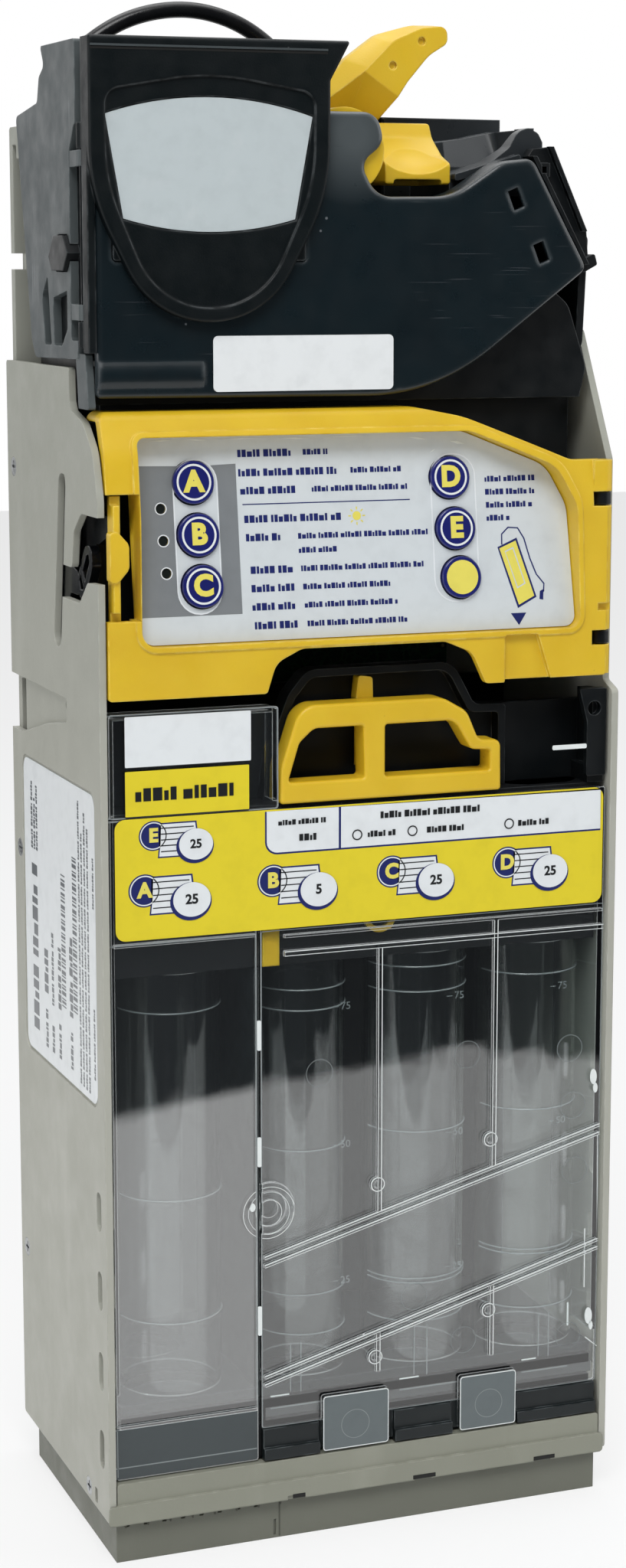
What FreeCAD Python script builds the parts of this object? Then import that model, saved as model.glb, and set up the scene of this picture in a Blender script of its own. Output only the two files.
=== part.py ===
"""Coin changer dispenser: a five-tube vending changer, built as separate pieces.

Millimetres. X to the right, Y to the mounting back, Z up. The origin is the
middle of the underside of the base. Each sub-part is one STEP file in parts/.
"""

import FreeCAD
import Part
import math
import os

# ---------------------------------------------------------------- driving sizes
# Chassis
HALF_WIDTH = 68.5          # outer face of each side wall from the middle
WALL = 1.8                 # side wall thickness
FRONT_Y = -39.5            # front edge of the side walls
BACK_Y = 40.5              # mounting back
PANEL_T = 3.0              # back panel thickness
BACK_TOP = 355.0           # top of the back panel
LEFT_TOP = 297.0           # top of the left wall
RIGHT_TOP = 305.0          # top of the right wall
SEAT = 0.3                 # gap left between pieces that only stand side by side
RUN = 0.05                 # radial gap of a shaft that turns in its hole

# Base
BASE_H = 11.0              # plinth height under the lip
LIP_TOP = 21.5
LIP_BREAK = 16.0           # step line across the lip
PLINTH_FRONT = -37.5
LIP_FRONT = -38.5
BASE_FLOOR = 2.0
BASE_WALL = 2.5
EXIT_MARGIN = 4.7          # payout exit's end to the side wall
EXIT_Y0 = 4.0
EXIT_Y1 = 30.0

# Cassette and its tubes
CASSETTE_BOTTOM = 22.0
COVER_Y = -38.0            # front face of the clear covers
COVER_T = 1.6
SEAM_X = -28.1             # seam between the two clear covers
SEAM_GAP = 1.0
CASSETTE_PLAY = 0.8        # cover's edge to the side wall
COVER_TOP = 190.0
TUBE_TOP = 150.0
TUBE_BOTTOM = 41.0
TUBE_PITCH = 31.6
TUBE_WALL = 0.9
QUARTER_BORE = 12.5        # bore radius for 24.3 mm coins
NICKEL_BORE = 10.9         # bore radius for 21.2 mm coins
TUBE_Y = -21.5             # axis of the front row
REAR_TUBE_DY = 28.6        # rear tube behind the front one
TUBE_D_MARGIN = 14.5       # rightmost tube's axis to the cover's edge
BAY_MARGIN = 18.9          # left bay's tubes, axis to the cover's edge
DECK_TOP = 191.0
DECK_T = 2.5
CASSETTE_BACK = 24.0
CASSETTE_SHOULDER = 215.5  # top of the label pocket and the cassette's upper wall

# Dispenser under the tubes
DISP_TOP = 37.6
DISP_BOTTOM = 21.8
DISP_FRONT = -36.4
DISP_BACK = 33.0
SHELF_HOLD = 5.5           # shelf reaches this far past a coin's middle
DISP_PLAY = 2.2            # dispenser's end to the side wall
SLIDE_T = 3.0
SLIDE_TOP = 35.1

# Gear train in the base
CAM_Y = -15.0
SHAFT_Z = 11.5
GEAR_MODULE = 0.6
CAM_TEETH = 28
PINION_TEETH = 14
GEAR_X0 = -29.4
GEAR_FACE = 4.0
CAM_SHAFT_R = 2.0
MOTOR_R = 6.6
MOTOR_X0 = -57.5
MOTOR_LENGTH = 26.0

# Door with the keypad
DOOR_PLAY = 2.3            # door's hinge edge to the side wall
HINGE_IN = 0.4             # hinge axis inside the door's edge
DOOR_BOTTOM = 219.0
DOOR_TOP = 287.0
DOOR_FRONT = -40.3
DOOR_SKIN = 2.2
HINGE_Y = -37.2
HINGE_PIN_R = 1.2
KNUCKLE_R = 2.5
LABEL_BOTTOM = 231.5
LABEL_TOP = 281.0
LABEL_FOOT_Y = -38.6       # label plane at its bottom edge
LABEL_HEAD_Y = -32.0       # label plane at its top edge
FILM_T = 0.4
TRAY_T = 2.0
BUTTON_R = 5.2
BUTTON_GAP = 0.3
BUTTON_TRAVEL = 1.2
BUTTON_PROUD = 0.7
KEYBOARD_N = 7.0           # depth of the keypad board behind the label face
KEYBOARD_T = 1.6
LED_R = 1.2

# Acceptor module
SIDE_COVER_PLAY = 0.4      # acceptor's left face inside the wall
ACC_FRONT = -24.0
ACC_BACK = 27.0
ACC_BOTTOM = 299.5
DECK_Z = 358.5             # rear deck
HOOD_TOP = 373.2
HOOD_BACK = 3.0
SHELL_T = 2.0
LID_FACE = -34.0
LID_BACK = -26.0
LID_T = 1.8
HEAD_FACE = -37.0          # front of the badge head
LID_HINGE_IN = 1.3         # lid hinge axis inside the side cover's face
LID_HINGE_Y = -28.0
LID_PIN_R = 1.0
LID_KNUCKLE_R = 1.7
LEVER_X = -3.3             # reject lever pivot
LEVER_Z = 348.2
LEVER_PIN_R = 2.0
LEVER_BOSS_R = 4.5
HUB_R = 10.3

# Separator between the acceptor and the cassette
SEP_PLAY = 4.7             # separator's end to the side wall

# Cable between the acceptor and the chassis board
CABLE_D = 4.0
CABLE_POINTS = [
    (-59.8, 20.0, 362.8),
    (-57.9, 20.0, 368.8),
    (-51.0, 20.0, 376.3),
    (-39.6, 20.0, 382.6),
    (-25.8, 20.0, 384.8),
    (-13.1, 20.0, 382.1),
    (-2.9, 20.0, 375.7),
    (3.5, 20.0, 368.0),
    (6.0, 20.0, 362.8),
]

# ------------------------------------------------------------- derived places
INNER_X = HALF_WIDTH - WALL                 # inner face of a side wall
COVER_HALF = INNER_X - CASSETTE_PLAY        # outer edge of the covers from the middle
DISP_HALF = INNER_X - DISP_PLAY
EXIT_X = INNER_X - EXIT_MARGIN              # payout exit, half its width
ACC_LEFT = -(INNER_X - SIDE_COVER_PLAY)     # left face of the acceptor body
LID_HINGE_X = -(HALF_WIDTH - LID_HINGE_IN)
TUBE_D_X = COVER_HALF - TUBE_D_MARGIN       # rightmost tube
BAY_X = -(COVER_HALF - BAY_MARGIN)          # axis of the two tubes in the left bay
DOOR_LEFT = -(INNER_X - SIDE_COVER_PLAY)
DOOR_RIGHT = INNER_X - DOOR_PLAY
HINGE_X = DOOR_RIGHT - HINGE_IN             # door hinge axis
SEP_HALF = INNER_X - SEP_PLAY
PANEL_FRONT = BACK_Y - PANEL_T
TUBE_C_X = TUBE_D_X - TUBE_PITCH
TUBE_B_X = TUBE_C_X - TUBE_PITCH
REAR_TUBE_Y = TUBE_Y + REAR_TUBE_DY
MOTOR_Y = CAM_Y - GEAR_MODULE * (CAM_TEETH + PINION_TEETH) / 2
COVER_BACK = COVER_Y + COVER_T
QUARTER_TUBES = [(BAY_X, TUBE_Y), (TUBE_C_X, TUBE_Y), (TUBE_D_X, TUBE_Y), (BAY_X, REAR_TUBE_Y)]
NICKEL_TUBE = (TUBE_B_X, TUBE_Y)
LABEL_TILT = math.atan2(LABEL_HEAD_Y - LABEL_FOOT_Y, LABEL_TOP - LABEL_BOTTOM)
BUTTONS = {
    "button_a": (-42.7, 270.0),
    "button_b": (-42.0, 257.5),
    "button_c": (-41.5, 245.3),
    "button_d": (24.0, 269.5),
    "button_e": (25.0, 257.0),
    "button_menu": (26.0, 245.0),
}
LEDS = [(-51.0, 264.0), (-50.7, 256.4), (-50.3, 248.7)]


# --------------------------------------------------------------------- helpers
def vec(x, y, z):
    return FreeCAD.Vector(x, y, z)


def box(x0, x1, y0, y1, z0, z1):
    return Part.makeBox(x1 - x0, y1 - y0, z1 - z0, vec(x0, y0, z0))


def rod(start, axis, radius, length):
    return Part.makeCylinder(radius, length, vec(*start), vec(*axis))


def rod_x(x0, x1, y, z, radius):
    return rod((x0, y, z), (1, 0, 0), radius, x1 - x0)


def rod_y(x, y0, y1, z, radius):
    return rod((x, y0, z), (0, 1, 0), radius, y1 - y0)


def rod_z(x, y, z0, z1, radius):
    return rod((x, y, z0), (0, 0, 1), radius, z1 - z0)


def join(pieces):
    whole = pieces[0]
    for piece in pieces[1:]:
        whole = whole.fuse(piece)
    return whole.removeSplitter()


def cut(body, tools):
    for tool in tools:
        body = body.cut(tool)
    return body


def corner_trim(before, corner, after, radius):
    """Tangent points and middle of the arc that rounds one corner."""
    into = (before - corner)
    out = (after - corner)
    half = into.getAngle(out) / 2
    room = 0.49 * min(into.Length, out.Length)
    radius = min(radius, room * math.tan(half))
    reach = radius / math.tan(half)
    into.normalize()
    out.normalize()
    bisector = (into + out).normalize()
    centre = corner + bisector * (radius / math.sin(half))
    middle = centre - bisector * radius
    return corner + into * reach, middle, corner + out * reach


def outline(points, place):
    """Closed face through corners (a, b) or (a, b, radius), set in space by place."""
    corners = [place(p[0], p[1]) for p in points]
    count = len(points)
    stops = []
    for i in range(count):
        radius = points[i][2] if len(points[i]) > 2 else 0.0
        if radius > 0:
            stops.append(corner_trim(corners[i - 1], corners[i], corners[(i + 1) % count], radius))
        else:
            stops.append((corners[i], None, corners[i]))
    edges = []
    for i in range(count):
        start, middle, end = stops[i]
        if middle is not None:
            edges.append(Part.Arc(start, middle, end).toShape())
        follow = stops[(i + 1) % count][0]
        if end.distanceToPoint(follow) > 1e-6:
            edges.append(Part.LineSegment(end, follow).toShape())
    return Part.Face(Part.Wire(edges))


def prism_xz(points, y0, y1):
    face = outline(points, lambda a, b: vec(a, y0, b))
    return face.extrude(vec(0, y1 - y0, 0))


def prism_yz(points, x0, x1):
    face = outline(points, lambda a, b: vec(x0, a, b))
    return face.extrude(vec(x1 - x0, 0, 0))


def prism_xy(points, z0, z1):
    face = outline(points, lambda a, b: vec(a, b, z0))
    return face.extrude(vec(0, 0, z1 - z0))


def rect(a0, a1, b0, b1, radius=0.0):
    return [(a0, b0, radius), (a1, b0, radius), (a1, b1, radius), (a0, b1, radius)]


def tube(x, y, z0, z1, outer, inner):
    return rod_z(x, y, z0, z1, outer).cut(rod_z(x, y, z0 - 1, z1 + 1, inner))


def soften(shape, size, wanted):
    """Round the edges whose middle point passes the test."""
    edges = [e for e in shape.Edges if wanted(e.CenterOfMass)]
    if not edges:
        return shape
    return shape.makeFillet(size, edges)


def wound_sleeve(x, y0, z, inner, wire, turns):
    """Close-wound spring along +Y, as one ribbed sleeve."""
    points = [vec(x + inner, y0, z)]
    edges = []
    for k in range(turns):
        start = vec(x + inner + wire / 2, y0 + wire * k, z)
        crest = vec(x + inner + wire, y0 + wire * (k + 0.5), z)
        end = vec(x + inner + wire / 2, y0 + wire * (k + 1), z)
        edges.append(Part.Arc(start, crest, end).toShape())
    first = edges[0].Vertexes[0].Point
    last = vec(x + inner + wire / 2, y0 + wire * turns, z)
    corner = vec(x + inner, y0 + wire * turns, z)
    edges.append(Part.LineSegment(last, corner).toShape())
    edges.append(Part.LineSegment(corner, points[0]).toShape())
    edges.append(Part.LineSegment(points[0], first).toShape())
    face = Part.Face(Part.Wire(Part.__sortEdges__(edges)))
    return face.revolve(vec(x, y0, z), vec(0, 1, 0), 360)


def on_label(shape):
    """Tilt a shape modelled upright about the foot of the label plane."""
    shape.rotate(vec(0, LABEL_FOOT_Y, LABEL_BOTTOM), vec(1, 0, 0), -math.degrees(LABEL_TILT))
    return shape


def label_y(depth):
    """Y of a plane at the given depth behind the label face, before the tilt."""
    return LABEL_FOOT_Y + depth


def label_z(z):
    """Height along the label for a height read on the front."""
    return LABEL_BOTTOM + (z - LABEL_BOTTOM) / math.cos(LABEL_TILT)


PARTS = {}


def keep(name, shape):
    PARTS[name] = shape


# --------------------------------------------------------------------- chassis
SCREW_R = 1.25
SCREW_HEAD_R = 2.4
SCREW_HEAD_T = 1.0
SCREW_LENGTH = 9.0
BOSS = 4.0                 # half width of a screw boss
WALL_SCREWS = [(BACK_Y - 5.5, 60.0), (BACK_Y - 5.5, 170.0), (BACK_Y - 5.5, 270.0), (-21.5, 14.5)]
SLOT_HEIGHTS = [29.0, 49.5, 70.5, 91.0]
SLOT_Y = -33.5
SLOT_W = 4.0
SLOT_H = 10.0
LABEL_POCKET = 0.5
RATING_T = 0.3
RATING = (-34.0, 32.0, 117.0, 196.0)


def upright_slot(y, z, width, height, x0, x1):
    half = width / 2
    return prism_yz(rect(y - half, y + half, z - height / 2, z + height / 2, half * 0.98), x0, x1)


def screw_hole(side, y, z):
    x0 = -HALF_WIDTH - 1 if side < 0 else HALF_WIDTH - SCREW_HEAD_T
    x1 = -HALF_WIDTH + SCREW_HEAD_T if side < 0 else HALF_WIDTH + 1
    ends = sorted((side * HALF_WIDTH, side * (INNER_X - 12)))
    through = rod_x(*ends, y, z, SCREW_R + RUN)
    return rod_x(x0, x1, y, z, SCREW_HEAD_R + RUN).fuse(through)


def make_left_wall():
    profile = [
        (FRONT_Y, BASE_H + SEAT, 1.5), (FRONT_Y, 267, 12), (-36, 278, 10), (-28, 284.6, 8), (-19, 286.8, 1),
        (-17.5, 289, 1), (-17, LEFT_TOP, 1), (BACK_Y, LEFT_TOP, 1), (BACK_Y, BASE_H + SEAT, 1),
    ]
    wall = prism_yz(profile, -HALF_WIDTH, -INNER_X)
    notch = [
        (FRONT_Y - 1, 262.7), (-26, 262.7, 4), (-19.6, 258, 3), (-17.6, 249, 1.5), (-9, 249), (-8, 241),
        (-24, 241, 3), (-31, 246.6, 2), (FRONT_Y - 1, 247),
    ]
    track = [(-13, 268.3, 2.9), (-7.2, 228.2, 3.2), (-0.7, 228.2, 3.2), (-7, 271.2, 2.9), (-12.6, 271.2, 2.9)]
    finger = [(30, 201.5, 1), (BACK_Y + 1, 201.5), (BACK_Y + 1, 216), (30, 216, 1)]
    dish = [(-11, 210, 1), (8, 207, 3), (30.5, 201.5, 1), (30.5, 216, 1), (-11, 216, 1)]
    x_in = -INNER_X + 1
    tools = [
        prism_yz(notch, -HALF_WIDTH - 1, x_in),
        prism_yz(track, -HALF_WIDTH - 1, x_in),
        prism_yz(finger, -HALF_WIDTH - 1, x_in),
        prism_yz(dish, -HALF_WIDTH - 1, -HALF_WIDTH + 1.0),
        prism_yz(rect(*RATING, 4.0), -HALF_WIDTH - 1, -HALF_WIDTH + LABEL_POCKET),
        rod_x(-HALF_WIDTH - 1, x_in, -8, 213.8, 1.1),
        prism_yz([(-29, 12.5, 0.6), (-26.6, 12.5, 0.6), (-26.6, 16.5, 0.6), (-29, 16.5, 0.6)],
                 -HALF_WIDTH - 1, x_in),
    ]
    tools += [upright_slot(SLOT_Y, z, SLOT_W, SLOT_H, -HALF_WIDTH - 1, x_in) for z in SLOT_HEIGHTS]
    tools += [screw_hole(-1, y, z) for y, z in WALL_SCREWS]
    return cut(wall, tools)


def make_right_wall():
    profile = [
        (FRONT_Y, BASE_H + SEAT, 1.5), (FRONT_Y, 215, 1.5), (-34, 217, 1), (-34, 273, 3), (-16, RIGHT_TOP, 2),
        (BACK_Y, RIGHT_TOP, 1), (BACK_Y, BASE_H + SEAT, 1),
    ]
    wall = prism_yz(profile, INNER_X, HALF_WIDTH)
    tools = [upright_slot(SLOT_Y, z, SLOT_W, SLOT_H, INNER_X - 1, HALF_WIDTH + 1) for z in SLOT_HEIGHTS]
    tools += [upright_slot(SLOT_Y, z, SLOT_W, SLOT_H, INNER_X - 1, HALF_WIDTH + 1) for z in (115.0, 181.0)]
    tools += [screw_hole(1, y, z) for y, z in WALL_SCREWS]
    return cut(wall, tools)


KEYHOLE_R = 4.5
KEY_SLOT = 2.4             # half width of the narrow part of a keyhole
KEY_RISE = 9.0             # centre of the round part to the top of the slot
KEY_SPACING = 76.2
KEY_TOP_Z = 262.0
KEY_LOW_Z = 96.0
HOOK_W = 14.0
BOARD_Y = PANEL_FRONT - 5.0
BOARD_T = 1.6
BOARD_X = 52.0
BOARD_Z0 = 112.0
BOARD_Z1 = 222.0
STANDOFF_R = 2.6
STANDOFFS = [(x, z) for x in (-46.0, 46.0) for z in (118.0, 216.0)]
INLET_X = INNER_X - 26.7
INLET_Z = 66.0
INLET_W = 20.0
INLET_H = 12.0


def keyhole(x, z):
    slot = prism_xz([(x - KEY_SLOT, z), (x + KEY_SLOT, z), (x + KEY_SLOT, z + KEY_RISE, KEY_SLOT * 0.98),
                     (x - KEY_SLOT, z + KEY_RISE, KEY_SLOT * 0.98)], PANEL_FRONT - 1, BACK_Y + 1)
    return rod_y(x, PANEL_FRONT - 1, BACK_Y + 1, z, KEYHOLE_R).fuse(slot)


def make_back_panel():
    edge = INNER_X - RUN
    panel = box(-edge, edge, PANEL_FRONT, BACK_Y, BASE_H + SEAT, BACK_TOP)
    adds = []
    for side in (-1, 1):
        x_out = side * edge
        x_in = side * (edge - SCREW_LENGTH - 1)
        for y, z in WALL_SCREWS[:3]:
            ends = sorted((x_out, x_in))
            adds.append(box(*ends, y - BOSS, PANEL_FRONT + 1, z - BOSS, z + BOSS))
        hook_in = side * (edge - HOOK_W)
        hook = [(PANEL_FRONT + 1, 345), (BACK_Y, 345), (BACK_Y, BACK_TOP + 0.5, 1.2),
                (31, BACK_TOP + 0.5, 2), (31, 347.5, 0.8), (34, 347.5, 0.8), (34, 351, 0.8),
                (PANEL_FRONT + 1, 351)]
        adds.append(prism_yz(hook, min(x_out, hook_in), max(x_out, hook_in)))
    for x, z in STANDOFFS:
        adds.append(rod_y(x, BOARD_Y + BOARD_T, PANEL_FRONT + 1, z, STANDOFF_R))
    panel = join([panel] + adds)
    tools = [keyhole(side * KEY_SPACING / 2, KEY_TOP_Z) for side in (-1, 1)]
    tools.append(keyhole(0.0, KEY_LOW_Z))
    tools.append(box(INLET_X - INLET_W / 2 - RUN, INLET_X + INLET_W / 2 + RUN, PANEL_FRONT - 1, BACK_Y + 1,
                     INLET_Z - INLET_H / 2 - RUN, INLET_Z + INLET_H / 2 + RUN))
    for side in (-1, 1):
        notch_x = side * edge
        tools.append(box(min(notch_x, side * (edge - 3)), max(notch_x, side * (edge - 3)),
                         PANEL_FRONT - 1, BACK_Y + 1, 320, 324))
        for y, z in WALL_SCREWS[:3]:
            tools.append(screw_hole(side, y, z))
    return cut(panel, tools)


def make_screws():
    screws = []
    for side in (-1, 1):
        for y, z in WALL_SCREWS:
            head = rod((side * HALF_WIDTH, y, z), (-side, 0, 0), SCREW_HEAD_R, SCREW_HEAD_T)
            shank = rod((side * (HALF_WIDTH - SCREW_HEAD_T), y, z), (-side, 0, 0), SCREW_R, SCREW_LENGTH)
            cross_a = box(-4, 4, -0.35, 0.35, -1.5, 1.5)
            cross_b = box(-4, 4, -1.5, 1.5, -0.35, 0.35)
            cross = cross_a.fuse(cross_b)
            cross.translate(vec(side * (HALF_WIDTH + 3.4), y, z))
            screws.append(head.fuse(shank).cut(cross))
    return Part.makeCompound(screws)


def make_rating_label():
    y0, y1, z0, z1 = RATING
    inset = 0.8
    plate = rect(y0 + inset, y1 - inset, z0 + inset, z1 - inset, 3.4)
    x0 = -HALF_WIDTH + LABEL_POCKET - RATING_T
    return prism_yz(plate, x0, -HALF_WIDTH + LABEL_POCKET)


def make_board():
    board = box(-BOARD_X, BOARD_X, BOARD_Y, BOARD_Y + BOARD_T, BOARD_Z0, BOARD_Z1)
    solids = [board]
    # middle x and z, width, height and thickness of each chip or connector
    chips = [
        (-30, 190, 14, 14, 1.2), (-4, 196, 20, 8, 1.6), (26, 188, 12, 10, 2.4), (-36, 150, 16, 6, 4.2),
        (0, 160, 10, 10, 1.6), (34, 150, 24, 6, 4.6), (10, 130, 30, 6, 4.6),
    ]
    for x, z, w, h, t in chips:
        solids.append(box(x - w / 2, x + w / 2, BOARD_Y - t, BOARD_Y, z - h / 2, z + h / 2))
    for x, z in [(-18, 128), (-27, 128), (44, 206)]:
        solids.append(rod_y(x, BOARD_Y - 6.5, BOARD_Y, z, 3.2))
    return Part.makeCompound(solids)


def make_inlet():
    w, h = INLET_W / 2, INLET_H / 2
    shroud = box(INLET_X - w, INLET_X + w, PANEL_FRONT - 8, BACK_Y, INLET_Z - h, INLET_Z + h)
    flange = box(INLET_X - w - 2, INLET_X + w + 2, PANEL_FRONT - 1.5, PANEL_FRONT,
                 INLET_Z - h - 2, INLET_Z + h + 2)
    shroud = shroud.fuse(flange)
    pocket = prism_xz(rect(INLET_X - w + 1.2, INLET_X + w - 1.2, INLET_Z - h + 1.2, INLET_Z + h - 1.2, 1.0),
                      PANEL_FRONT - 5, BACK_Y + 1)
    solids = [shroud.cut(pocket)]
    for column in (-1, 0, 1):
        for row in (-1, 1):
            x = INLET_X + 5.2 * column
            z = INLET_Z + 2.3 * row
            solids.append(rod_y(x, PANEL_FRONT - 5, BACK_Y - 1.5, z, 0.7))
    return Part.makeCompound(solids)


BASE_INSET = 0.5           # plinth's end inside the side wall
BASE_END = 2.2             # thickness of the plinth's ends
BASE_REAR_GAP = 2.5        # plinth's rear to the back panel
SHAFT_SUPPORTS = [BAY_X - 9.5, -22.0, 4.0, 35.5, TUBE_D_X + 9.6]
SUPPORT_T = 2.4
RAMP_END = INNER_X - BASE_INSET - BASE_END + 0.2
RAMPS = [(-RAMP_END, -33.0), (-24.0, RAMP_END)]     # coin ramps over the camshaft
BEARING_R = 4.0


def make_base():
    rear = PANEL_FRONT - BASE_REAR_GAP
    half = INNER_X - BASE_INSET
    room = half - BASE_END
    lower = box(-half, half, PLINTH_FRONT, rear, 0, BASE_H)
    side = INNER_X - RUN
    upper = box(-side, side, PLINTH_FRONT + 0.2, rear, BASE_H, LIP_TOP - 0.3)
    lip_low = prism_xz(rect(-HALF_WIDTH - 0.3, HALF_WIDTH - 0.9, BASE_H - 0.2, LIP_BREAK, 1.0),
                       LIP_FRONT - 1.6, PLINTH_FRONT + 1)
    lip_high = prism_xz(rect(-INNER_X + SEAT, INNER_X - SEAT, LIP_BREAK - 1, LIP_TOP, 0.8),
                        LIP_FRONT - 0.9, PLINTH_FRONT + 1)
    lip_low = lip_low.cut(box(-HALF_WIDTH - 2, -INNER_X, FRONT_Y - SEAT, 0, BASE_H - 1, LIP_TOP))
    lip_low = lip_low.cut(box(INNER_X, HALF_WIDTH + 2, FRONT_Y - SEAT, 0, BASE_H - 1, LIP_TOP))
    body = join([lower, upper, lip_low, lip_high])
    body = body.cut(box(-room, room, PLINTH_FRONT + BASE_WALL, rear - BASE_WALL, BASE_FLOOR, LIP_TOP + 1))
    adds = []
    for x in SHAFT_SUPPORTS:
        post_side = [
            (CAM_Y - 5, BASE_FLOOR - 0.5), (CAM_Y + 5, BASE_FLOOR - 0.5),
            (CAM_Y + BEARING_R, SHAFT_Z + BEARING_R, 3.5), (CAM_Y - BEARING_R, SHAFT_Z + BEARING_R, 3.5),
        ]
        shaft_post = prism_yz(post_side, x - SUPPORT_T / 2, x + SUPPORT_T / 2)
        adds.append(shaft_post)
    for x0, x1 in RAMPS:
        ramp = prism_yz([(-18.5, LIP_TOP - 0.4), (EXIT_Y0 - 0.5, 12.2), (EXIT_Y0 - 0.5, 11.3),
                         (-18.5, LIP_TOP - 1.3)], x0, x1)
        adds.append(ramp)
    cradle = box(MOTOR_X0 + 2, MOTOR_X0 + MOTOR_LENGTH - 2, MOTOR_Y - 6, MOTOR_Y + 6, BASE_FLOOR - 0.5, 7)
    adds.append(cradle)
    for side_sign in (-1, 1):
        y, z = WALL_SCREWS[3]
        x_out = side_sign * (room - 0.5)
        x_in = side_sign * (INNER_X - SCREW_LENGTH - 1)
        adds.append(box(min(x_out, x_in), max(x_out, x_in), y - 3.2, y + 3.2, BASE_FLOOR - 0.5, z + 3.2))
    body = join([body] + adds)
    tools = [rod_x(MOTOR_X0, MOTOR_X0 + MOTOR_LENGTH, MOTOR_Y, SHAFT_Z, MOTOR_R)]
    tools.append(rod_x(SHAFT_SUPPORTS[0] - 2, SHAFT_SUPPORTS[-1] + 1, CAM_Y, SHAFT_Z, CAM_SHAFT_R + RUN))
    tools.append(box(-EXIT_X, EXIT_X, EXIT_Y0, EXIT_Y1, -1, BASE_FLOOR + 1))
    for side_sign in (-1, 1):
        y, z = WALL_SCREWS[3]
        tools.append(screw_hole(side_sign, y, z))
    for x in (-19.0, 16.0, 50.0):
        tools.append(box(x - 2.4, x + 2.4, LIP_FRONT - 3, LIP_FRONT - 1.1, BASE_H - 0.6, BASE_H + 0.9))
    for k in range(8):
        x = -64.0 + 4.9 * k
        tools.append(prism_xz([(x, 9.2), (x + 1.1, 9.2), (x + 1.9, 10.8), (x + 0.8, 10.8)],
                              PLINTH_FRONT - 1, PLINTH_FRONT + 0.7))
    tools.append(box(-24.3, -23.7, PLINTH_FRONT - 1, PLINTH_FRONT + 0.5, 0.8, 5))
    return cut(body, tools)


keep("left_wall", make_left_wall())
keep("right_wall", make_right_wall())
keep("back_panel", make_back_panel())
keep("base_plinth", make_base())
keep("chassis_screws", make_screws())
keep("rating_label", make_rating_label())
keep("main_board", make_board())
keep("rear_inlet", make_inlet())


# ------------------------------------------------------------------- gear train
PRESSURE = math.radians(20)
ADDENDUM = 0.8
DEDENDUM = 1.15
BACKLASH = 0.05


def involute(base_r, radius):
    """Polar angle of the involute of a circle at a radius."""
    if radius <= base_r:
        return 0.0
    t = math.sqrt((radius / base_r) ** 2 - 1)
    return t - math.atan(t)


def gear_face(teeth, phase, place):
    """Toothed outline; place sets a radius and an angle in space."""
    pitch_r = GEAR_MODULE * teeth / 2
    base_r = pitch_r * math.cos(PRESSURE)
    tip_r = pitch_r + ADDENDUM * GEAR_MODULE
    root_r = pitch_r - DEDENDUM * GEAR_MODULE
    half_tooth = math.pi / (2 * teeth) - BACKLASH / pitch_r + involute(base_r, pitch_r)
    start_r = max(base_r, root_r)
    flank = [start_r + (tip_r - start_r) * k / 4 for k in range(5)]
    points = []
    for tooth in range(teeth):
        middle = phase + 2 * math.pi * tooth / teeth
        left = [(root_r, middle - half_tooth)]
        left += [(r, middle - half_tooth + involute(base_r, r)) for r in flank]
        right = [(r, 2 * middle - angle) for r, angle in reversed(left)]
        points += left + right
    corners = [place(r, angle) for r, angle in points]
    unique = [corners[0]]
    for corner in corners[1:]:
        if corner.distanceToPoint(unique[-1]) > 1e-4:
            unique.append(corner)
    return Part.Face(Part.makePolygon(unique + [unique[0]]))


def gear(teeth, phase, y, z):
    face = gear_face(teeth, phase, lambda r, a: vec(GEAR_X0, y + r * math.cos(a), z + r * math.sin(a)))
    return face.extrude(vec(GEAR_FACE, 0, 0))


def make_cam_gear():
    phase = math.pi        # a tooth points at the pinion
    wheel = gear(CAM_TEETH, phase, CAM_Y, SHAFT_Z)
    hub = rod_x(GEAR_X0 - 2, GEAR_X0, CAM_Y, SHAFT_Z, 3.6)
    wheel = wheel.fuse(hub)
    return wheel.cut(rod_x(GEAR_X0 - 3, GEAR_X0 + GEAR_FACE + 1, CAM_Y, SHAFT_Z, CAM_SHAFT_R))


def make_pinion():
    phase = math.pi / PINION_TEETH      # a gap points at the cam gear
    wheel = gear(PINION_TEETH, phase, MOTOR_Y, SHAFT_Z)
    shaft = rod_x(MOTOR_X0 + MOTOR_LENGTH - 6, GEAR_X0 + GEAR_FACE + 1, MOTOR_Y, SHAFT_Z, 1.0)
    return wheel.fuse(shaft)


CAM_R = 4.2
CAM_OFFSET = 1.5
CAM_T = 3.0
CAM_SPOTS = [BAY_X, TUBE_B_X, TUBE_C_X, TUBE_D_X]


def make_camshaft():
    shaft = rod_x(SHAFT_SUPPORTS[0] - 1.5, SHAFT_SUPPORTS[-1] + 0.5, CAM_Y, SHAFT_Z, CAM_SHAFT_R)
    pieces = [shaft]
    for k, x in enumerate(CAM_SPOTS):
        angle = math.pi / 2 * k
        y = CAM_Y + CAM_OFFSET * math.cos(angle)
        z = SHAFT_Z + CAM_OFFSET * math.sin(angle)
        pieces.append(rod_x(x - CAM_T / 2, x + CAM_T / 2, y, z, CAM_R))
    return join(pieces)


def make_motor():
    x1 = MOTOR_X0 + MOTOR_LENGTH
    can = rod_x(MOTOR_X0, x1, MOTOR_Y, SHAFT_Z, MOTOR_R)
    nose = rod_x(x1, x1 + 1.0, MOTOR_Y, SHAFT_Z, 3.0)
    can = can.fuse(nose)
    return can.cut(rod_x(x1 - 6.5, x1 + 2, MOTOR_Y, SHAFT_Z, 1.0 + RUN))


keep("cam_gear", make_cam_gear())
keep("motor_pinion", make_pinion())
keep("camshaft", make_camshaft())
keep("dispenser_motor", make_motor())


# ------------------------------------------------------------------- dispenser
SHELF_TOP = SLIDE_TOP - SLIDE_T - 0.2
SHELF_T = 2.0
SLIDE_FRONT = DISP_FRONT + 0.9
SLIDE_HALF_W = 14.2


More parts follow.
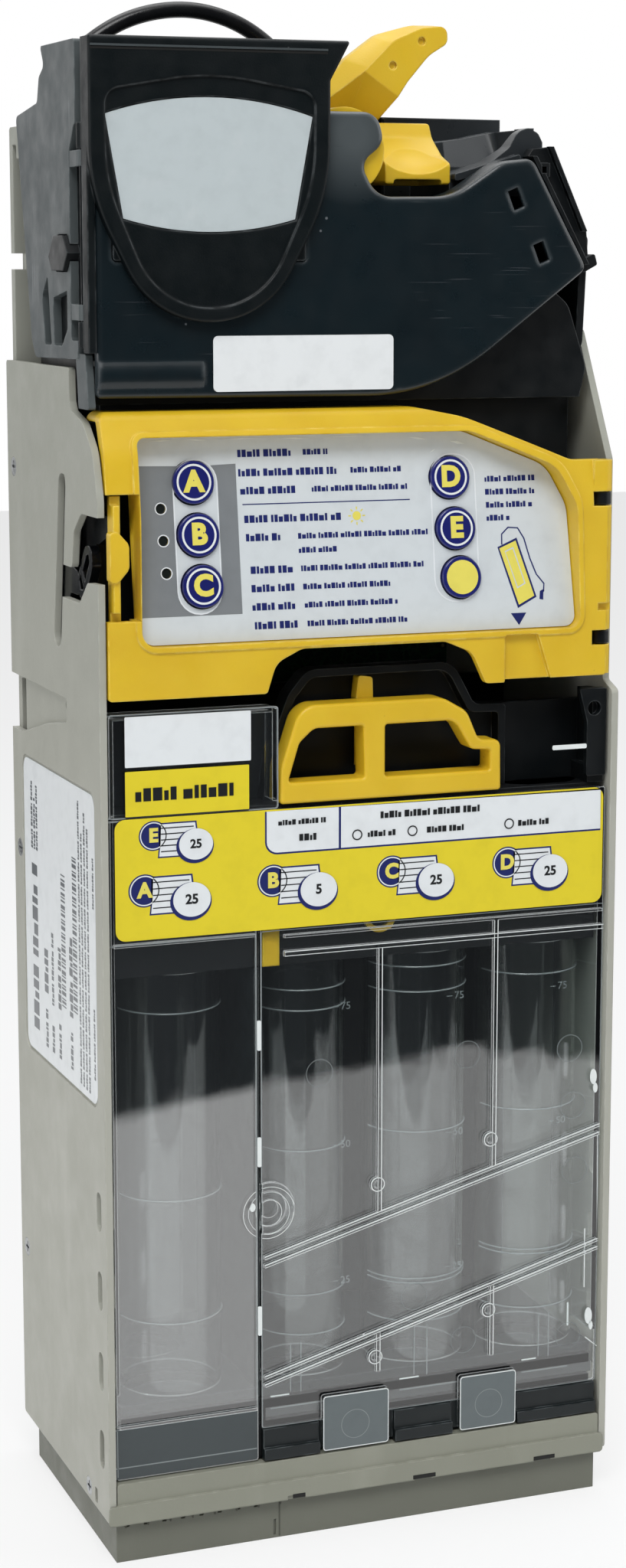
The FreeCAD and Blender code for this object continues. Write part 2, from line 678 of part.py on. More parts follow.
def slide_channel(x):
    return box(x - SLIDE_HALF_W - SEAT, x + SLIDE_HALF_W + SEAT, DISP_FRONT - 1, DISP_BACK + 1,
               SHELF_TOP, SLIDE_TOP + 0.15)


def make_dispenser():
    frame = box(-DISP_HALF, DISP_HALF, DISP_FRONT, DISP_BACK, DISP_BOTTOM, DISP_TOP)
    tools = []
    for x in CAM_SPOTS:
        tools.append(slide_channel(x))
        # chutes under the slide: a coin rests on the shelf until its middle is past the edge
        stops = [TUBE_Y + SHELF_HOLD, DISP_BACK - 3]
        if x == BAY_X:
            stops = [TUBE_Y + SHELF_HOLD, REAR_TUBE_Y - 12.5, REAR_TUBE_Y + SHELF_HOLD, DISP_BACK - 3]
        for y0, y1 in zip(stops[::2], stops[1::2]):
            tools.append(box(x - 13.2, x + 13.2, y0, y1, DISP_BOTTOM - 1, SHELF_TOP + 1))
    for x, y in QUARTER_TUBES:
        tools.append(rod_z(x, y, SLIDE_TOP, DISP_TOP + 1, QUARTER_BORE + 0.3))
    tools.append(rod_z(*NICKEL_TUBE, SLIDE_TOP, DISP_TOP + 1, NICKEL_BORE + 0.3))
    # hollow under the shelf in front of the chutes
    tools.append(box(-DISP_HALF + 2, DISP_HALF - 2, DISP_FRONT + 2, TUBE_Y + 2.5,
                     DISP_BOTTOM - 1, SHELF_TOP - SHELF_T))
    return cut(frame, tools)


def make_slide(x, pockets, length):
    plate = box(x - SLIDE_HALF_W, x + SLIDE_HALF_W, SLIDE_FRONT, SLIDE_FRONT + length,
                SHELF_TOP + 0.1, SHELF_TOP + 0.1 + SLIDE_T)
    tools = []
    for y, bore in pockets:
        tools.append(rod_z(x, y, SHELF_TOP - 1, SLIDE_TOP + 1, bore))
    plate = cut(plate, tools)
    return soften(plate, 0.5, lambda c: abs(c.y - SLIDE_FRONT) < 0.01 and abs(c.x - x) < 0.1)


keep("dispenser_frame", make_dispenser())
keep("payout_slide_ae", make_slide(BAY_X, [(TUBE_Y, 12.6), (REAR_TUBE_Y, 12.6)], 56.0))
keep("payout_slide_b", make_slide(TUBE_B_X, [(TUBE_Y, 11.2)], 29.0))
keep("payout_slide_c", make_slide(TUBE_C_X, [(TUBE_Y, 12.6)], 29.0))
keep("payout_slide_d", make_slide(TUBE_D_X, [(TUBE_Y, 12.6)], 29.0))


# -------------------------------------------------------------------- cassette
RIB = 0.9                  # how far the strengthening ribs stand proud
LABEL_Z0 = 160.0
LABEL_Z1 = 190.0
CARD_T = 0.35
FOOT_TOP = 30.0


def rib_line(x0, z0, x1, z1, width, y_face):
    """Straight rib on the front of a cover, from one point to another."""
    run = math.hypot(x1 - x0, z1 - z0)
    nx = -(z1 - z0) / run * width / 2
    nz = (x1 - x0) / run * width / 2
    points = [(x0 + nx, z0 + nz), (x1 + nx, z1 + nz), (x1 - nx, z1 - nz), (x0 - nx, z0 - nz)]
    return prism_xz(points, y_face - RIB, y_face + 0.3)


def make_front_cover():
    left = SEAM_X + SEAM_GAP / 2
    sheet = prism_xz(rect(left, COVER_HALF, FOOT_TOP + SEAT, COVER_TOP, 0.6), COVER_Y, COVER_BACK)
    side = box(COVER_HALF - 1.0, COVER_HALF, COVER_Y + 0.5, -12, 44, COVER_TOP)
    ribs = [
        rib_line(-21.5, 153.6, COVER_HALF - 0.5, 153.6, 1.3, COVER_Y),
        rib_line(-21.5, 158.0, COVER_HALF - 0.5, 158.0, 0.7, COVER_Y),
        rib_line(4.0, 153.6, 4.0, 84.2, 1.2, COVER_Y),
        rib_line(35.6, 158.0, 35.6, 92.4, 1.2, COVER_Y),
        rib_line(-27.0, 75.6, COVER_HALF - 0.5, 100.6, 0.9, COVER_Y),
        rib_line(-27.0, 73.4, COVER_HALF - 0.5, 98.4, 0.9, COVER_Y),
        rib_line(-27.0, 44.0, COVER_HALF - 0.5, 69.4, 0.9, COVER_Y),
        rib_line(-27.0, 41.8, COVER_HALF - 0.5, 67.2, 0.9, COVER_Y),
        rib_line(3.8, 52.0, 3.8, 41.5, 1.2, COVER_Y),
        rib_line(35.5, 61.0, 35.5, 41.5, 1.2, COVER_Y),
    ]
    rings = []
    for x, z in [(3.5, 91.5), (34.7, 100.0), (3.0, 45.5), (34.6, 54.0)]:
        ring = rod_y(x, COVER_Y - RIB, COVER_Y + 0.3, z, 1.9).cut(rod_y(x, COVER_Y - 2, COVER_Y + 1, z, 1.0))
        rings.append(ring)
    boss = rod_y(-25.8, COVER_Y - 0.8, COVER_Y + 0.3, 88.5, 6.8)
    boss = boss.cut(rod_y(-25.8, COVER_Y - 2, COVER_Y - 0.4, 88.5, 4.6))
    boss = boss.fuse(rod_y(-25.8, COVER_Y - 0.9, COVER_Y + 0.3, 88.5, 2.4))
    boss = boss.cut(box(-40, left, COVER_Y - 2, COVER_Y + 2, 80, 97))
    cover = join([sheet, side] + ribs + rings + [boss])
    tabs = []
    for x0, x1 in [(-11.5, 6.5), (26.5, 42.3)]:
        tab = prism_xz(rect(x0, x1, CASSETTE_BOTTOM + 0.3, 37.0, 0.8), COVER_Y - 1.5, COVER_Y + 0.2)
        tabs.append(tab)
    return join([cover] + tabs)


def make_left_window():
    right = SEAM_X - SEAM_GAP / 2
    sheet = prism_xz(rect(-COVER_HALF, right, CASSETTE_BOTTOM, LABEL_Z1 - 0.2, 0.6), COVER_Y, COVER_BACK)
    side = box(-COVER_HALF, -COVER_HALF + 1.0, COVER_Y + 0.5, -12, 44, LABEL_Z1 - 0.2)
    floor_line = rib_line(-COVER_HALF + 0.5, 36.0, right - 0.5, 36.0, 0.8, COVER_Y)
    head_line = rib_line(-COVER_HALF + 0.5, 158.9, right - 0.5, 158.9, 0.7, COVER_Y)
    return join([sheet, side, floor_line, head_line])


def make_label_pocket():
    z0 = LABEL_Z1 + 0.1
    x1 = -22.8
    sheet = prism_xz(rect(-COVER_HALF, x1, z0, CASSETTE_SHOULDER, 0.8), COVER_Y, COVER_Y + 1.2)
    left = box(-COVER_HALF, -COVER_HALF + 1.2, COVER_Y + 0.6, -31, z0, CASSETTE_SHOULDER - 0.8)
    right = box(x1 - 1.2, x1, COVER_Y + 0.6, -31, z0 + 2, CASSETTE_SHOULDER - 0.8)
    top = box(-COVER_HALF + 0.6, x1 - 0.6, COVER_Y + 0.6, -31,
              CASSETTE_SHOULDER - 1.4, CASSETTE_SHOULDER - 0.4)
    return join([sheet, left, right, top])


def make_cards():
    y0 = COVER_Y - CARD_T
    label = prism_xz(rect(-64.8, 65.3, LABEL_Z0, LABEL_Z1, 2.5), y0, COVER_Y)
    value = prism_xz(rect(-62.0, -30.5, LABEL_Z1 + 0.2, 201.5, 0.3), y0, COVER_Y)
    blank = prism_xz(rect(-62.0, -30.0, 202.4, 215.0, 0.3), y0, COVER_Y)
    return Part.makeCompound([label, value, blank])


def make_quarter_tubes():
    outer = QUARTER_BORE + TUBE_WALL
    tubes = []
    for x, y in QUARTER_TUBES:
        wall = tube(x, y, TUBE_BOTTOM, TUBE_TOP, outer, QUARTER_BORE)
        tubes.append(wall)
    return Part.makeCompound(tubes)


def make_nickel_tube():
    x, y = NICKEL_TUBE
    return tube(x, y, TUBE_BOTTOM, TUBE_TOP, NICKEL_BORE + TUBE_WALL, NICKEL_BORE)


ARCH_BACK = -25.0
ARCH_FACE = -27.0
ARCH_RIM_FACE = -31.0
ARCH = [
    (-24.5, DECK_TOP), (-23.0, 203.0, 6), (-17.6, 217.0, 6), (-12.6, 223.0, 5), (26.3, 223.2, 6),
    (32.4, 212.0, 3), (41.0, 211.8, 1), (41.0, DECK_TOP),
]
ARCH_INNER = [
    (-22.5, DECK_TOP - 1), (-21.0, 203.0, 6), (-15.8, 216.0, 5), (-11.6, 221.0, 4), (25.0, 221.2, 5),
    (31.0, 210.0, 3), (39.0, 209.8, 1), (39.0, DECK_TOP - 1),
]


SHELL_WALL = 1.2
SHELL_Y0 = COVER_BACK + 1.6          # front of the cassette's upper box
REAR_WALL = 2.0


def coin_plate(z0, z1, extra):
    """Plate inside the cassette's upper box with a hole over each tube."""
    side = COVER_HALF - 1.0 - SEAT - SHELL_WALL
    plate = box(-side, side, SHELL_Y0 + SHELL_WALL, CASSETTE_BACK - REAR_WALL, z0, z1)
    tools = [rod_z(x, y, z0 - 1, z1 + 1, QUARTER_BORE + extra) for x, y in QUARTER_TUBES]
    tools.append(rod_z(*NICKEL_TUBE, z0 - 1, z1 + 1, NICKEL_BORE + extra))
    return cut(plate, tools)


def make_deck():
    """Coin deck under the separator and the seat that holds the tubes' heads."""
    deck = coin_plate(DECK_TOP - DECK_T, DECK_TOP, 0.7)
    seat = coin_plate(TUBE_TOP + 0.1, TUBE_TOP + 0.1 + DECK_T, 0.0)
    return Part.makeCompound([deck, seat])


def make_shell():
    """Walls round the two coin plates, with the rear wall down to the cassette's base."""
    side = COVER_HALF - 1.0 - SEAT
    z0 = TUBE_TOP + 0.1
    front = box(-side, side, SHELL_Y0, SHELL_Y0 + SHELL_WALL, z0, DECK_TOP)
    ledge = box(-side, side, COVER_BACK + 0.2, SHELL_Y0 + 0.5, DECK_TOP - DECK_T, DECK_TOP)
    rear_face = CASSETTE_BACK - REAR_WALL
    rear = box(-side, side, rear_face, CASSETTE_BACK, TUBE_BOTTOM - 2.6, CASSETTE_SHOULDER - 3.5)
    left = box(-side, -side + SHELL_WALL, SHELL_Y0, CASSETTE_BACK, z0, DECK_TOP)
    right = box(side - SHELL_WALL, side, SHELL_Y0, CASSETTE_BACK, z0, DECK_TOP)
    return join([front, ledge, rear, left, right])


def make_arch():
    """Black wall behind the handle, standing on the deck, with its raised arched rim."""
    side = COVER_HALF - 1.0 - SEAT
    wall = prism_xz(ARCH, ARCH_FACE, ARCH_BACK)
    rim = prism_xz(ARCH, ARCH_RIM_FACE, ARCH_FACE + 0.5)
    rim = rim.cut(prism_xz(ARCH_INNER, ARCH_RIM_FACE - 1, ARCH_FACE))
    shoulder = box(-side, -20, ARCH_FACE, ARCH_BACK, DECK_TOP, CASSETTE_SHOULDER - 2.5)
    right_wall = box(38, side, ARCH_FACE, ARCH_BACK, DECK_TOP, CASSETTE_SHOULDER - 4.0)
    return join([wall, rim, shoulder, right_wall])


def make_cassette_base():
    side = COVER_HALF - 1.0 - SEAT
    z0 = DISP_TOP + 0.7
    plate = box(-side, side, COVER_BACK + 0.2, CASSETTE_BACK - 2.2, z0, TUBE_BOTTOM - 0.1)
    tools = [rod_z(x, y, z0 - 1, TUBE_BOTTOM + 1, QUARTER_BORE) for x, y in QUARTER_TUBES]
    tools.append(rod_z(*NICKEL_TUBE, z0 - 1, TUBE_BOTTOM + 1, NICKEL_BORE))
    plate = cut(plate, tools)
    divider = box(SEAM_X - 0.9, SEAM_X + 0.9, COVER_BACK + 0.2, 6, TUBE_BOTTOM - 0.2, TUBE_TOP - 0.2)
    foot_y1 = COVER_BACK
    blocks = [(-27.3, -12.3), (8.5, 24.5), (43.0, 65.6)]
    pieces = [plate, divider]
    rail = box(SEAM_X + 0.8, 65.6, foot_y1 - 0.8, foot_y1 - 0.05, CASSETTE_BOTTOM + 0.5, FOOT_TOP)
    feet = [rail]
    for x0, x1 in blocks:
        step = box(x0, x1, COVER_Y - 1.4, foot_y1 - 0.4, CASSETTE_BOTTOM, 25.0)
        face = box(x0, x1, COVER_Y - 0.4, foot_y1 - 0.4, 24.5, FOOT_TOP)
        feet += [step, face]
    foot = join(feet)
    return Part.makeCompound([join(pieces), foot])


HANDLE_FACE = -38.3
HANDLE_BACK = -31.6
HANDLE_FOOT = DECK_TOP


def make_handle():
    outer = [
        (-22.2, HANDLE_FOOT, 0.8), (-22.0, 200, 8), (-17.0, 215.3, 6), (20.8, 215.3, 7), (27.4, 211.5, 5),
        (30.6, 204.2, 2.5), (36.6, 203.8, 1.8), (36.8, HANDLE_FOOT, 0.8),
    ]
    body = prism_xz(outer, HANDLE_FACE, HANDLE_BACK)
    left = [(-20.2, 196.3, 0.8), (0.0, 196.3, 0.8), (-0.4, 209.4, 0.8), (-13.4, 209.4, 3.5), (-17.2, 206, 3)]
    right = [(5.4, 196.3, 0.8), (33.8, 196.3, 0.8), (33.8, 201.4, 0.8), (28.6, 201.8, 2), (24.0, 209.4, 4),
             (5.4, 209.4, 0.8)]
    for window in (left, right):
        body = body.cut(prism_xz(window, HANDLE_FACE - 1, HANDLE_BACK + 1))
    body = soften(body, 0.9, lambda c: abs(c.y - HANDLE_FACE) < 0.01 and c.z > HANDLE_FOOT + 6)
    rod_strip = box(-26.6, -22.2, COVER_BACK + 0.2, COVER_BACK + 1.5, TUBE_TOP + 0.3, DECK_TOP - DECK_T - 0.1)
    ring = rod_y(4.6, COVER_BACK + 0.1, COVER_BACK + 1.3, 161.0, 4.4)
    ring = ring.cut(rod_y(4.6, COVER_BACK, COVER_BACK + 2, 161.0, 3.0))
    stem = box(3.6, 5.6, COVER_BACK + 0.1, COVER_BACK + 1.3, 164.6, DECK_TOP - DECK_T - 0.1)
    return Part.makeCompound([body, rod_strip, ring.fuse(stem)])


def make_latch_tab():
    tip = [(0.2, 214.6, 0.6), (4.8, 214.6, 0.6), (4.6, 220.4, 0.8), (0.9, 220.9, 0.8)]
    head = prism_xz(tip, -31.2, -27.6)
    leg = box(0.9, 4.1, -30.9, -28.2, 198.0, 215.4)
    return join([head, leg])


BRACKET_W = 5.3


def make_bracket():
    """Small end bracket at the right front of the cassette."""
    top = CASSETTE_SHOULDER
    foot_z = COVER_TOP + 3.0
    inner = COVER_HALF - BRACKET_W
    plate = prism_xz([(inner, foot_z, 0.5), (COVER_HALF, foot_z, 0.5), (COVER_HALF, top, 0.5),
                      (inner - 2.2, top, 0.5), (inner, foot_z + 14.0, 1)], COVER_Y, COVER_Y + 1.8)
    web = box(COVER_HALF - 2.9, COVER_HALF, COVER_Y + 1, ARCH_FACE, foot_z + 2, top - 1)
    foot = box(inner + 0.9, COVER_HALF, COVER_Y + 1.4, ARCH_FACE, DECK_TOP, foot_z + 2.5)
    eye = rod_y(COVER_HALF - 3.3, COVER_Y - 1, COVER_Y + 2, top - 5.1, 1.8)
    return join([plate, web, foot]).cut(eye)


keep("cassette_front_cover", make_front_cover())
keep("cassette_window_left", make_left_window())
keep("label_pocket", make_label_pocket())
keep("cassette_cards", make_cards())
keep("quarter_tubes", make_quarter_tubes())
keep("nickel_tube", make_nickel_tube())
keep("cassette_deck", make_deck())
keep("cassette_shell", make_shell())
keep("cassette_arch", make_arch())
keep("cassette_base", make_cassette_base())
keep("cassette_handle", make_handle())
keep("cassette_latch", make_latch_tab())
keep("cassette_bracket", make_bracket())


# ------------------------------------------------------------------------ door
DOOR_OUTLINE = [
    (DOOR_LEFT, DOOR_BOTTOM, 0.8), (-26.4, DOOR_BOTTOM, 1.0), (-24.0, 226.4, 5), (-17.4, 229.6, 5),
    (20.4, 229.6, 5), (27.6, 226.6, 5), (31.4, 218.6, 1.2), (36.4, 218.6, 0.6), (36.5, 219.2),
    (DOOR_RIGHT, 219.2, 0.8), (DOOR_RIGHT, 273.4, 1.2), (54.5, 273.4, 8), (27.0, 284.4, 30),
    (14.0, DOOR_TOP, 12), (DOOR_LEFT, DOOR_TOP, 2.5),
]
WINDOW = [
    (-58.0, 231.5, 4), (57.0, 231.5, 3), (55.8, 262.0, 10), (50.5, 272.0, 9), (28.0, 281.0, 9),
    (-58.0, 281.0, 2),
]
LIP_PROUD = 0.4
DOOR_BACK = -24.0          # rear edge of the top plate that the skin rolls over into


def door_block(inset):
    """The door's rounded front as a solid, its skin inset by this much."""
    front = DOOR_FRONT + inset
    top = DOOR_TOP - inset
    bottom = DOOR_BOTTOM - 2
    profile = [(front, bottom), (front, 262, 20 - inset), (front + 2.0, 277 - inset, 13 - inset),
               (front + 6.2, top, 3.2 - inset), (DOOR_BACK + inset, top), (DOOR_BACK + inset, bottom)]
    return prism_yz(profile, DOOR_LEFT - 1, DOOR_RIGHT + 1)


def knuckle(z0, z1):
    return rod_z(HINGE_X, HINGE_Y, z0, z1, KNUCKLE_R)


DOOR_KNUCKLES = [(219.4, 226.8), (230.6, 261.8), (265.4, 273.2)]
LUG_SPANS = [(227.1, 230.3), (262.1, 265.1)]


def window_points(grow):
    """Label window outline, moved outwards by grow."""
    middle_x = sum(p[0] for p in WINDOW) / len(WINDOW)
    middle_z = sum(p[1] for p in WINDOW) / len(WINDOW)
    moved = []
    for x, z, r in WINDOW:
        step_x = grow if x > middle_x else -grow
        step_z = grow if z > middle_z else -grow
        moved.append((x + step_x, z + step_z, max(r + grow, 0.5)))
    return moved


def make_door():
    behind = box(-80, 80, DOOR_BACK - DOOR_SKIN - 0.1, -10, 200, DOOR_TOP - DOOR_SKIN)
    skin = door_block(0.0).cut(door_block(DOOR_SKIN).fuse(behind))
    skin = skin.common(prism_xz(DOOR_OUTLINE, DOOR_FRONT - 2, -15))
    skin = skin.cut(prism_xz(window_points(0.0), DOOR_FRONT - 5, -15))
    # lip round the label, a little proud of the skin and reaching back to the tilted tray
    lip = prism_xz(window_points(1.4), DOOR_FRONT - 2, -26)
    lip = lip.cut(prism_xz(window_points(0.0), DOOR_FRONT - 5, -15))
    lip = lip.common(on_label(box(-80, 80, label_y(-12), label_y(0.9 + TRAY_T), 200, 300)))
    lip = lip.common(door_block(-LIP_PROUD))
    tray = prism_xz(window_points(1.0), DOOR_FRONT - 5, -15)
    tray = tray.common(on_label(box(-80, 80, label_y(0.9), label_y(0.9 + TRAY_T), 200, 300)))
    edge_left = box(DOOR_LEFT, DOOR_LEFT + 1.6, DOOR_FRONT + 1, -31, DOOR_BOTTOM + 0.5, 236)
    floor_edge = box(DOOR_LEFT + 1, -27.4, DOOR_FRONT + 1, -33, DOOR_BOTTOM, DOOR_BOTTOM + 1.6)
    pieces = [skin, lip, tray, edge_left, floor_edge]
    for z0, z1 in DOOR_KNUCKLES:
        pieces.append(knuckle(z0, z1))
        pieces.append(box(60.6, HINGE_X, DOOR_FRONT + 0.6, HINGE_Y + 1.0, z0, z1))
    door = join(pieces)
    tools = [box(DOOR_LEFT - 1, -58.2, DOOR_FRONT - 5, -10, 238, 268)]
    tools.append(rod_z(HINGE_X, HINGE_Y, DOOR_BOTTOM - 5, DOOR_TOP, HINGE_PIN_R + RUN))
    for z0, z1 in LUG_SPANS:
        tools.append(box(60.4, DOOR_RIGHT + 4, DOOR_FRONT - 2, -20, z0 - SEAT, z1 + SEAT))
    for x, z in BUTTONS.values():
        tools.append(on_label(rod_y(x, label_y(-3), label_y(6), label_z(z), BUTTON_R + BUTTON_GAP)))
    for x, z in LEDS:
        tools.append(on_label(rod_y(x, label_y(-3), label_y(6), label_z(z), LED_R + 0.1)))
    # shallow recess over the service connector
    tools.append(prism_xz([(36.5, 218), (49.5, 218), (45.5, 230.5, 1), (36.5, 230.5, 0.5)],
                          DOOR_FRONT - 1, DOOR_FRONT + 1.3))
    tools.append(box(62.0, DOOR_RIGHT + 5, DOOR_FRONT - 2, DOOR_FRONT + 1.5, 235.6, 237.4))
    return cut(door, tools)


def make_overlay():
    film = prism_xz(window_points(-0.25), DOOR_FRONT - 5, -15)
    film = film.common(on_label(box(-80, 80, label_y(0.9 - FILM_T), label_y(0.9), 200, 300)))
    tools = []
    for x, z in BUTTONS.values():
        tools.append(on_label(rod_y(x, label_y(-3), label_y(6), label_z(z), BUTTON_R + BUTTON_GAP)))
    for x, z in LEDS:
        tools.append(on_label(rod_y(x, label_y(-3), label_y(6), label_z(z), LED_R + 0.1)))
    return cut(film, tools)


SWITCH_TOP_N = KEYBOARD_N - 1.6


def make_keypad_board():
    board = box(-56.0, 53.0, label_y(KEYBOARD_N), label_y(KEYBOARD_N + KEYBOARD_T), 233.0, 276.0)
    board = board.cut(prism_xz([(36, 280), (56, 266), (56, 280)], label_y(KEYBOARD_N) - 1, label_y(12)))
    solids = [on_label(board)]
    for x, z in BUTTONS.values():
        switch = box(x - 3, x + 3, label_y(SWITCH_TOP_N), label_y(KEYBOARD_N), label_z(z) - 3, label_z(z) + 3)
        solids.append(on_label(switch))
    for x, z in [(-20, 240), (8, 240)]:
        post = rod_y(x, label_y(0.9 + TRAY_T), label_y(KEYBOARD_N), label_z(z), 2.0)
        solids.append(on_label(post))
    return Part.makeCompound(solids)


def make_leds():
    solids = []
    for x, z in LEDS:
        solids.append(on_label(rod_y(x, label_y(0.9), label_y(KEYBOARD_N), label_z(z), LED_R)))
    return Part.makeCompound(solids)


def make_button(x, z):
    up = label_z(z)
    cap = rod_y(x, label_y(-BUTTON_PROUD), label_y(3.6), up, BUTTON_R)
    cap = soften(cap, 0.35, lambda c: abs(c.y - label_y(-BUTTON_PROUD)) < 0.01)
    stem = rod_y(x, label_y(3.5), label_y(SWITCH_TOP_N - BUTTON_TRAVEL - 0.1), up, 1.6)
    return on_label(join([cap, stem]))



def make_door_latch():
    bar = box(-65.0, -63.4, -41.0, -36.6, 240.2, 265.6)
    grip = [(-66.0, 247.6, 0.8), (-64.2, 247.2, 1.5), (-61.3, 250.6, 2.5), (-61.3, 256.4, 2.5),
            (-64.2, 259.6, 1.5), (-66.0, 259.2, 0.8)]
    tab = prism_xz(grip, -41.6, -38.6)
    rail = box(-65.0, -62.4, -37.9, -36.3, 236.4, 267.6)
    return join([bar, tab, rail])


keep("door_frame", make_door())
keep("keypad_overlay", make_overlay())
keep("keypad_board", make_keypad_board())
keep("status_leds", make_leds())
for button_name, (button_x, button_z) in BUTTONS.items():
    keep(button_name, make_button(button_x, button_z))
keep("door_latch", make_door_latch())


# ------------------------------------------------------------------- separator
SEP_FRONT = -21.0
SEP_BACK = 30.5
SEP_BOTTOM = 230.0
SEP_TOP = 298.5
GATE_X = -18.0
GATE_Z = 276.0
GATE_PIN_R = 1.3
GATE_HALF_Y = 13.0


def make_separator():
    case = box(-SEP_HALF, SEP_HALF, SEP_FRONT, SEP_BACK, SEP_BOTTOM, SEP_TOP)
    case = case.cut(box(-SEP_HALF + 2, SEP_HALF - 2, SEP_FRONT + 2, SEP_BACK + 1,
                        SEP_BOTTOM + 2, SEP_TOP - 2))
    apron = prism_xz([(-65.5, 288.3), (62.8, 288.3), (64.6, 296.0, 6), (59.4, 311.4, 6), (52.5, 317.0, 3),
                      (44.0, 309.0), (30.0, 299.0), (20.0, 297.5), (-65.5, 297.5)], -25.6, -24.1)
    neck = box(-60.0, 60.0, -24.6, SEP_FRONT + 0.5, 289.0, 296.0)
    pieces = [case, apron, neck]
    for z0, z1 in LUG_SPANS:
        arm = box(SEP_HALF - 2, HINGE_X + 1.6, -33.5, SEP_FRONT + 3, z0, z1)
        finger = box(HINGE_X - 1.9, HINGE_X + 1.9, HINGE_Y, -33.0, z0, z1)
        eye = rod_z(HINGE_X, HINGE_Y, z0, z1, 2.3)
        pieces += [arm, finger, eye]
    cheek = box(-CHEEK_OUT, -61.5, -22.0, 20.0, 236.0, 284.0)
    strike = [
        (-35.2, 262.4), (-35.2, 258.8), (-30.0, 257.0, 1), (-24.0, 255.0), (-21.0, 255.0), (-21.0, 262.4),
    ]
    pieces += [cheek, prism_yz(strike, -CHEEK_OUT, -61.5)]
    for side in (-1, 1):
        ear_x = sorted((side * (SEP_HALF - 2), side * SEP_HALF))
        pieces.append(box(*ear_x, SEP_BACK - 1, PANEL_FRONT, 240.0, 256.0))
    for y in (-GATE_HALF_Y - 2.6, GATE_HALF_Y + 0.6):
        web = prism_xz([(GATE_X - 5, SEP_TOP - 1), (GATE_X - 3, GATE_Z - 4, 2), (GATE_X + 3, GATE_Z - 4, 2),
                        (GATE_X + 5, SEP_TOP - 1)], y, y + 2.0)
        pieces.append(web)
    housing = join(pieces)
    tools = [rod_y(GATE_X, -GATE_HALF_Y - 4, GATE_HALF_Y + 4, GATE_Z, GATE_PIN_R + RUN)]
    tools += [rod_z(HINGE_X, HINGE_Y, z0 - 1, z1 + 1, HINGE_PIN_R) for z0, z1 in LUG_SPANS]
    # coin exits to the tubes below and entry from the acceptor above
    tools.append(box(-40, 40, -16, 26, SEP_BOTTOM - 1, SEP_BOTTOM + 3))
    tools.append(box(-12, 22, -14, 14, SEP_TOP - 3, SEP_TOP + 1))
    tools.append(rod_x(-67.0, -58.0, LEVER2_Y, LEVER2_Z, LEVER2_PIN_R))
    return cut(housing, tools)


LEVER2_Y = -3.7            # side release lever pivot
LEVER2_Z = 231.7
LEVER2_PIN_R = 1.6
LEVER2_OUT = INNER_X - SEAT
LEVER2_T = 2.4
CHEEK_OUT = LEVER2_OUT - LEVER2_T - 0.4   # outer face of the separator's left cheek


def make_side_lever():
    """Lever behind the left wall, with a loop to pull it by."""
    x0, x1 = -LEVER2_OUT, -LEVER2_OUT + LEVER2_T
    arm = [(LEVER2_Y - 2.9, LEVER2_Z - 2.9, 2.8), (LEVER2_Y + 2.9, LEVER2_Z - 2.9, 2.8), (-1.4, 236.0, 2),
           (-6.4, 266.5, 2), (-12.0, 266.5, 2), (-9.6, 249.0, 1), (-15.6, 247.8, 1), (-16.6, 242.0, 1),
           (-8.6, 242.0, 1)]
    loop = [(-14.6, 245.4, 2.6), (-17.4, 240.9, 2.6), (-21.4, 241.9, 2.6), (-28.2, 250.6, 2.6),
            (-26.4, 255.2, 2.6), (-21.8, 254.4, 2.6)]
    gap_a = [(-17.4, 243.6, 0.5), (-20.6, 243.8, 0.5), (-17.6, 247.8, 0.5), (-16.4, 245.9, 0.5)]
    gap_b = [
        (-21.4, 245.6, 0.5), (-25.6, 250.9, 0.5), (-24.8, 252.9, 0.5), (-22.6, 252.3, 0.5), (-19.4, 248.4, 0.5),
    ]
    lever = prism_yz(arm, x0, x1).fuse(prism_yz(loop, x0, x1))
    lever = cut(lever, [prism_yz(gap_a, x0 - 1, x1 + 1), prism_yz(gap_b, x0 - 1, x1 + 1)])
    return lever.cut(rod_x(x0 - 1, x1 + 1, LEVER2_Y, LEVER2_Z, LEVER2_PIN_R + RUN)).removeSplitter()


def make_gate():
    side = [
        (GATE_X - 1.4, GATE_Z + 1.0, 1), (GATE_X + 1.4, GATE_Z + 1.0, 1),
        (GATE_X + 1.0, GATE_Z - 22, 0.4), (GATE_X - 1.0, GATE_Z - 22, 0.4),
    ]
    flap = prism_xz(side, -GATE_HALF_Y, GATE_HALF_Y)
    pin = rod_y(GATE_X, -GATE_HALF_Y - 2.4, GATE_HALF_Y + 2.4, GATE_Z, GATE_PIN_R)
    return join([flap, pin])


def make_solenoid():
    coil_body = rod_x(8.0, 30.0, 4.0, 262.0, 7.0)
    yoke = box(6.0, 32.0, -4.0, 12.0, 253.0, 254.8)
    plate_a = box(6.0, 8.0, -4.0, 12.0, 253.0, 271.0)
    plate_b = box(30.0, 32.0, -4.0, 12.0, 253.0, 271.0)
    leg = box(14.0, 24.0, SEP_FRONT + 2, -3.0, 253.0, 254.8)
    return join([coil_body, yoke, plate_a, plate_b, leg])


keep("separator_housing", make_separator())
keep("accept_gate", make_gate())
keep("gate_solenoid", make_solenoid())
keep("side_lever", make_side_lever())


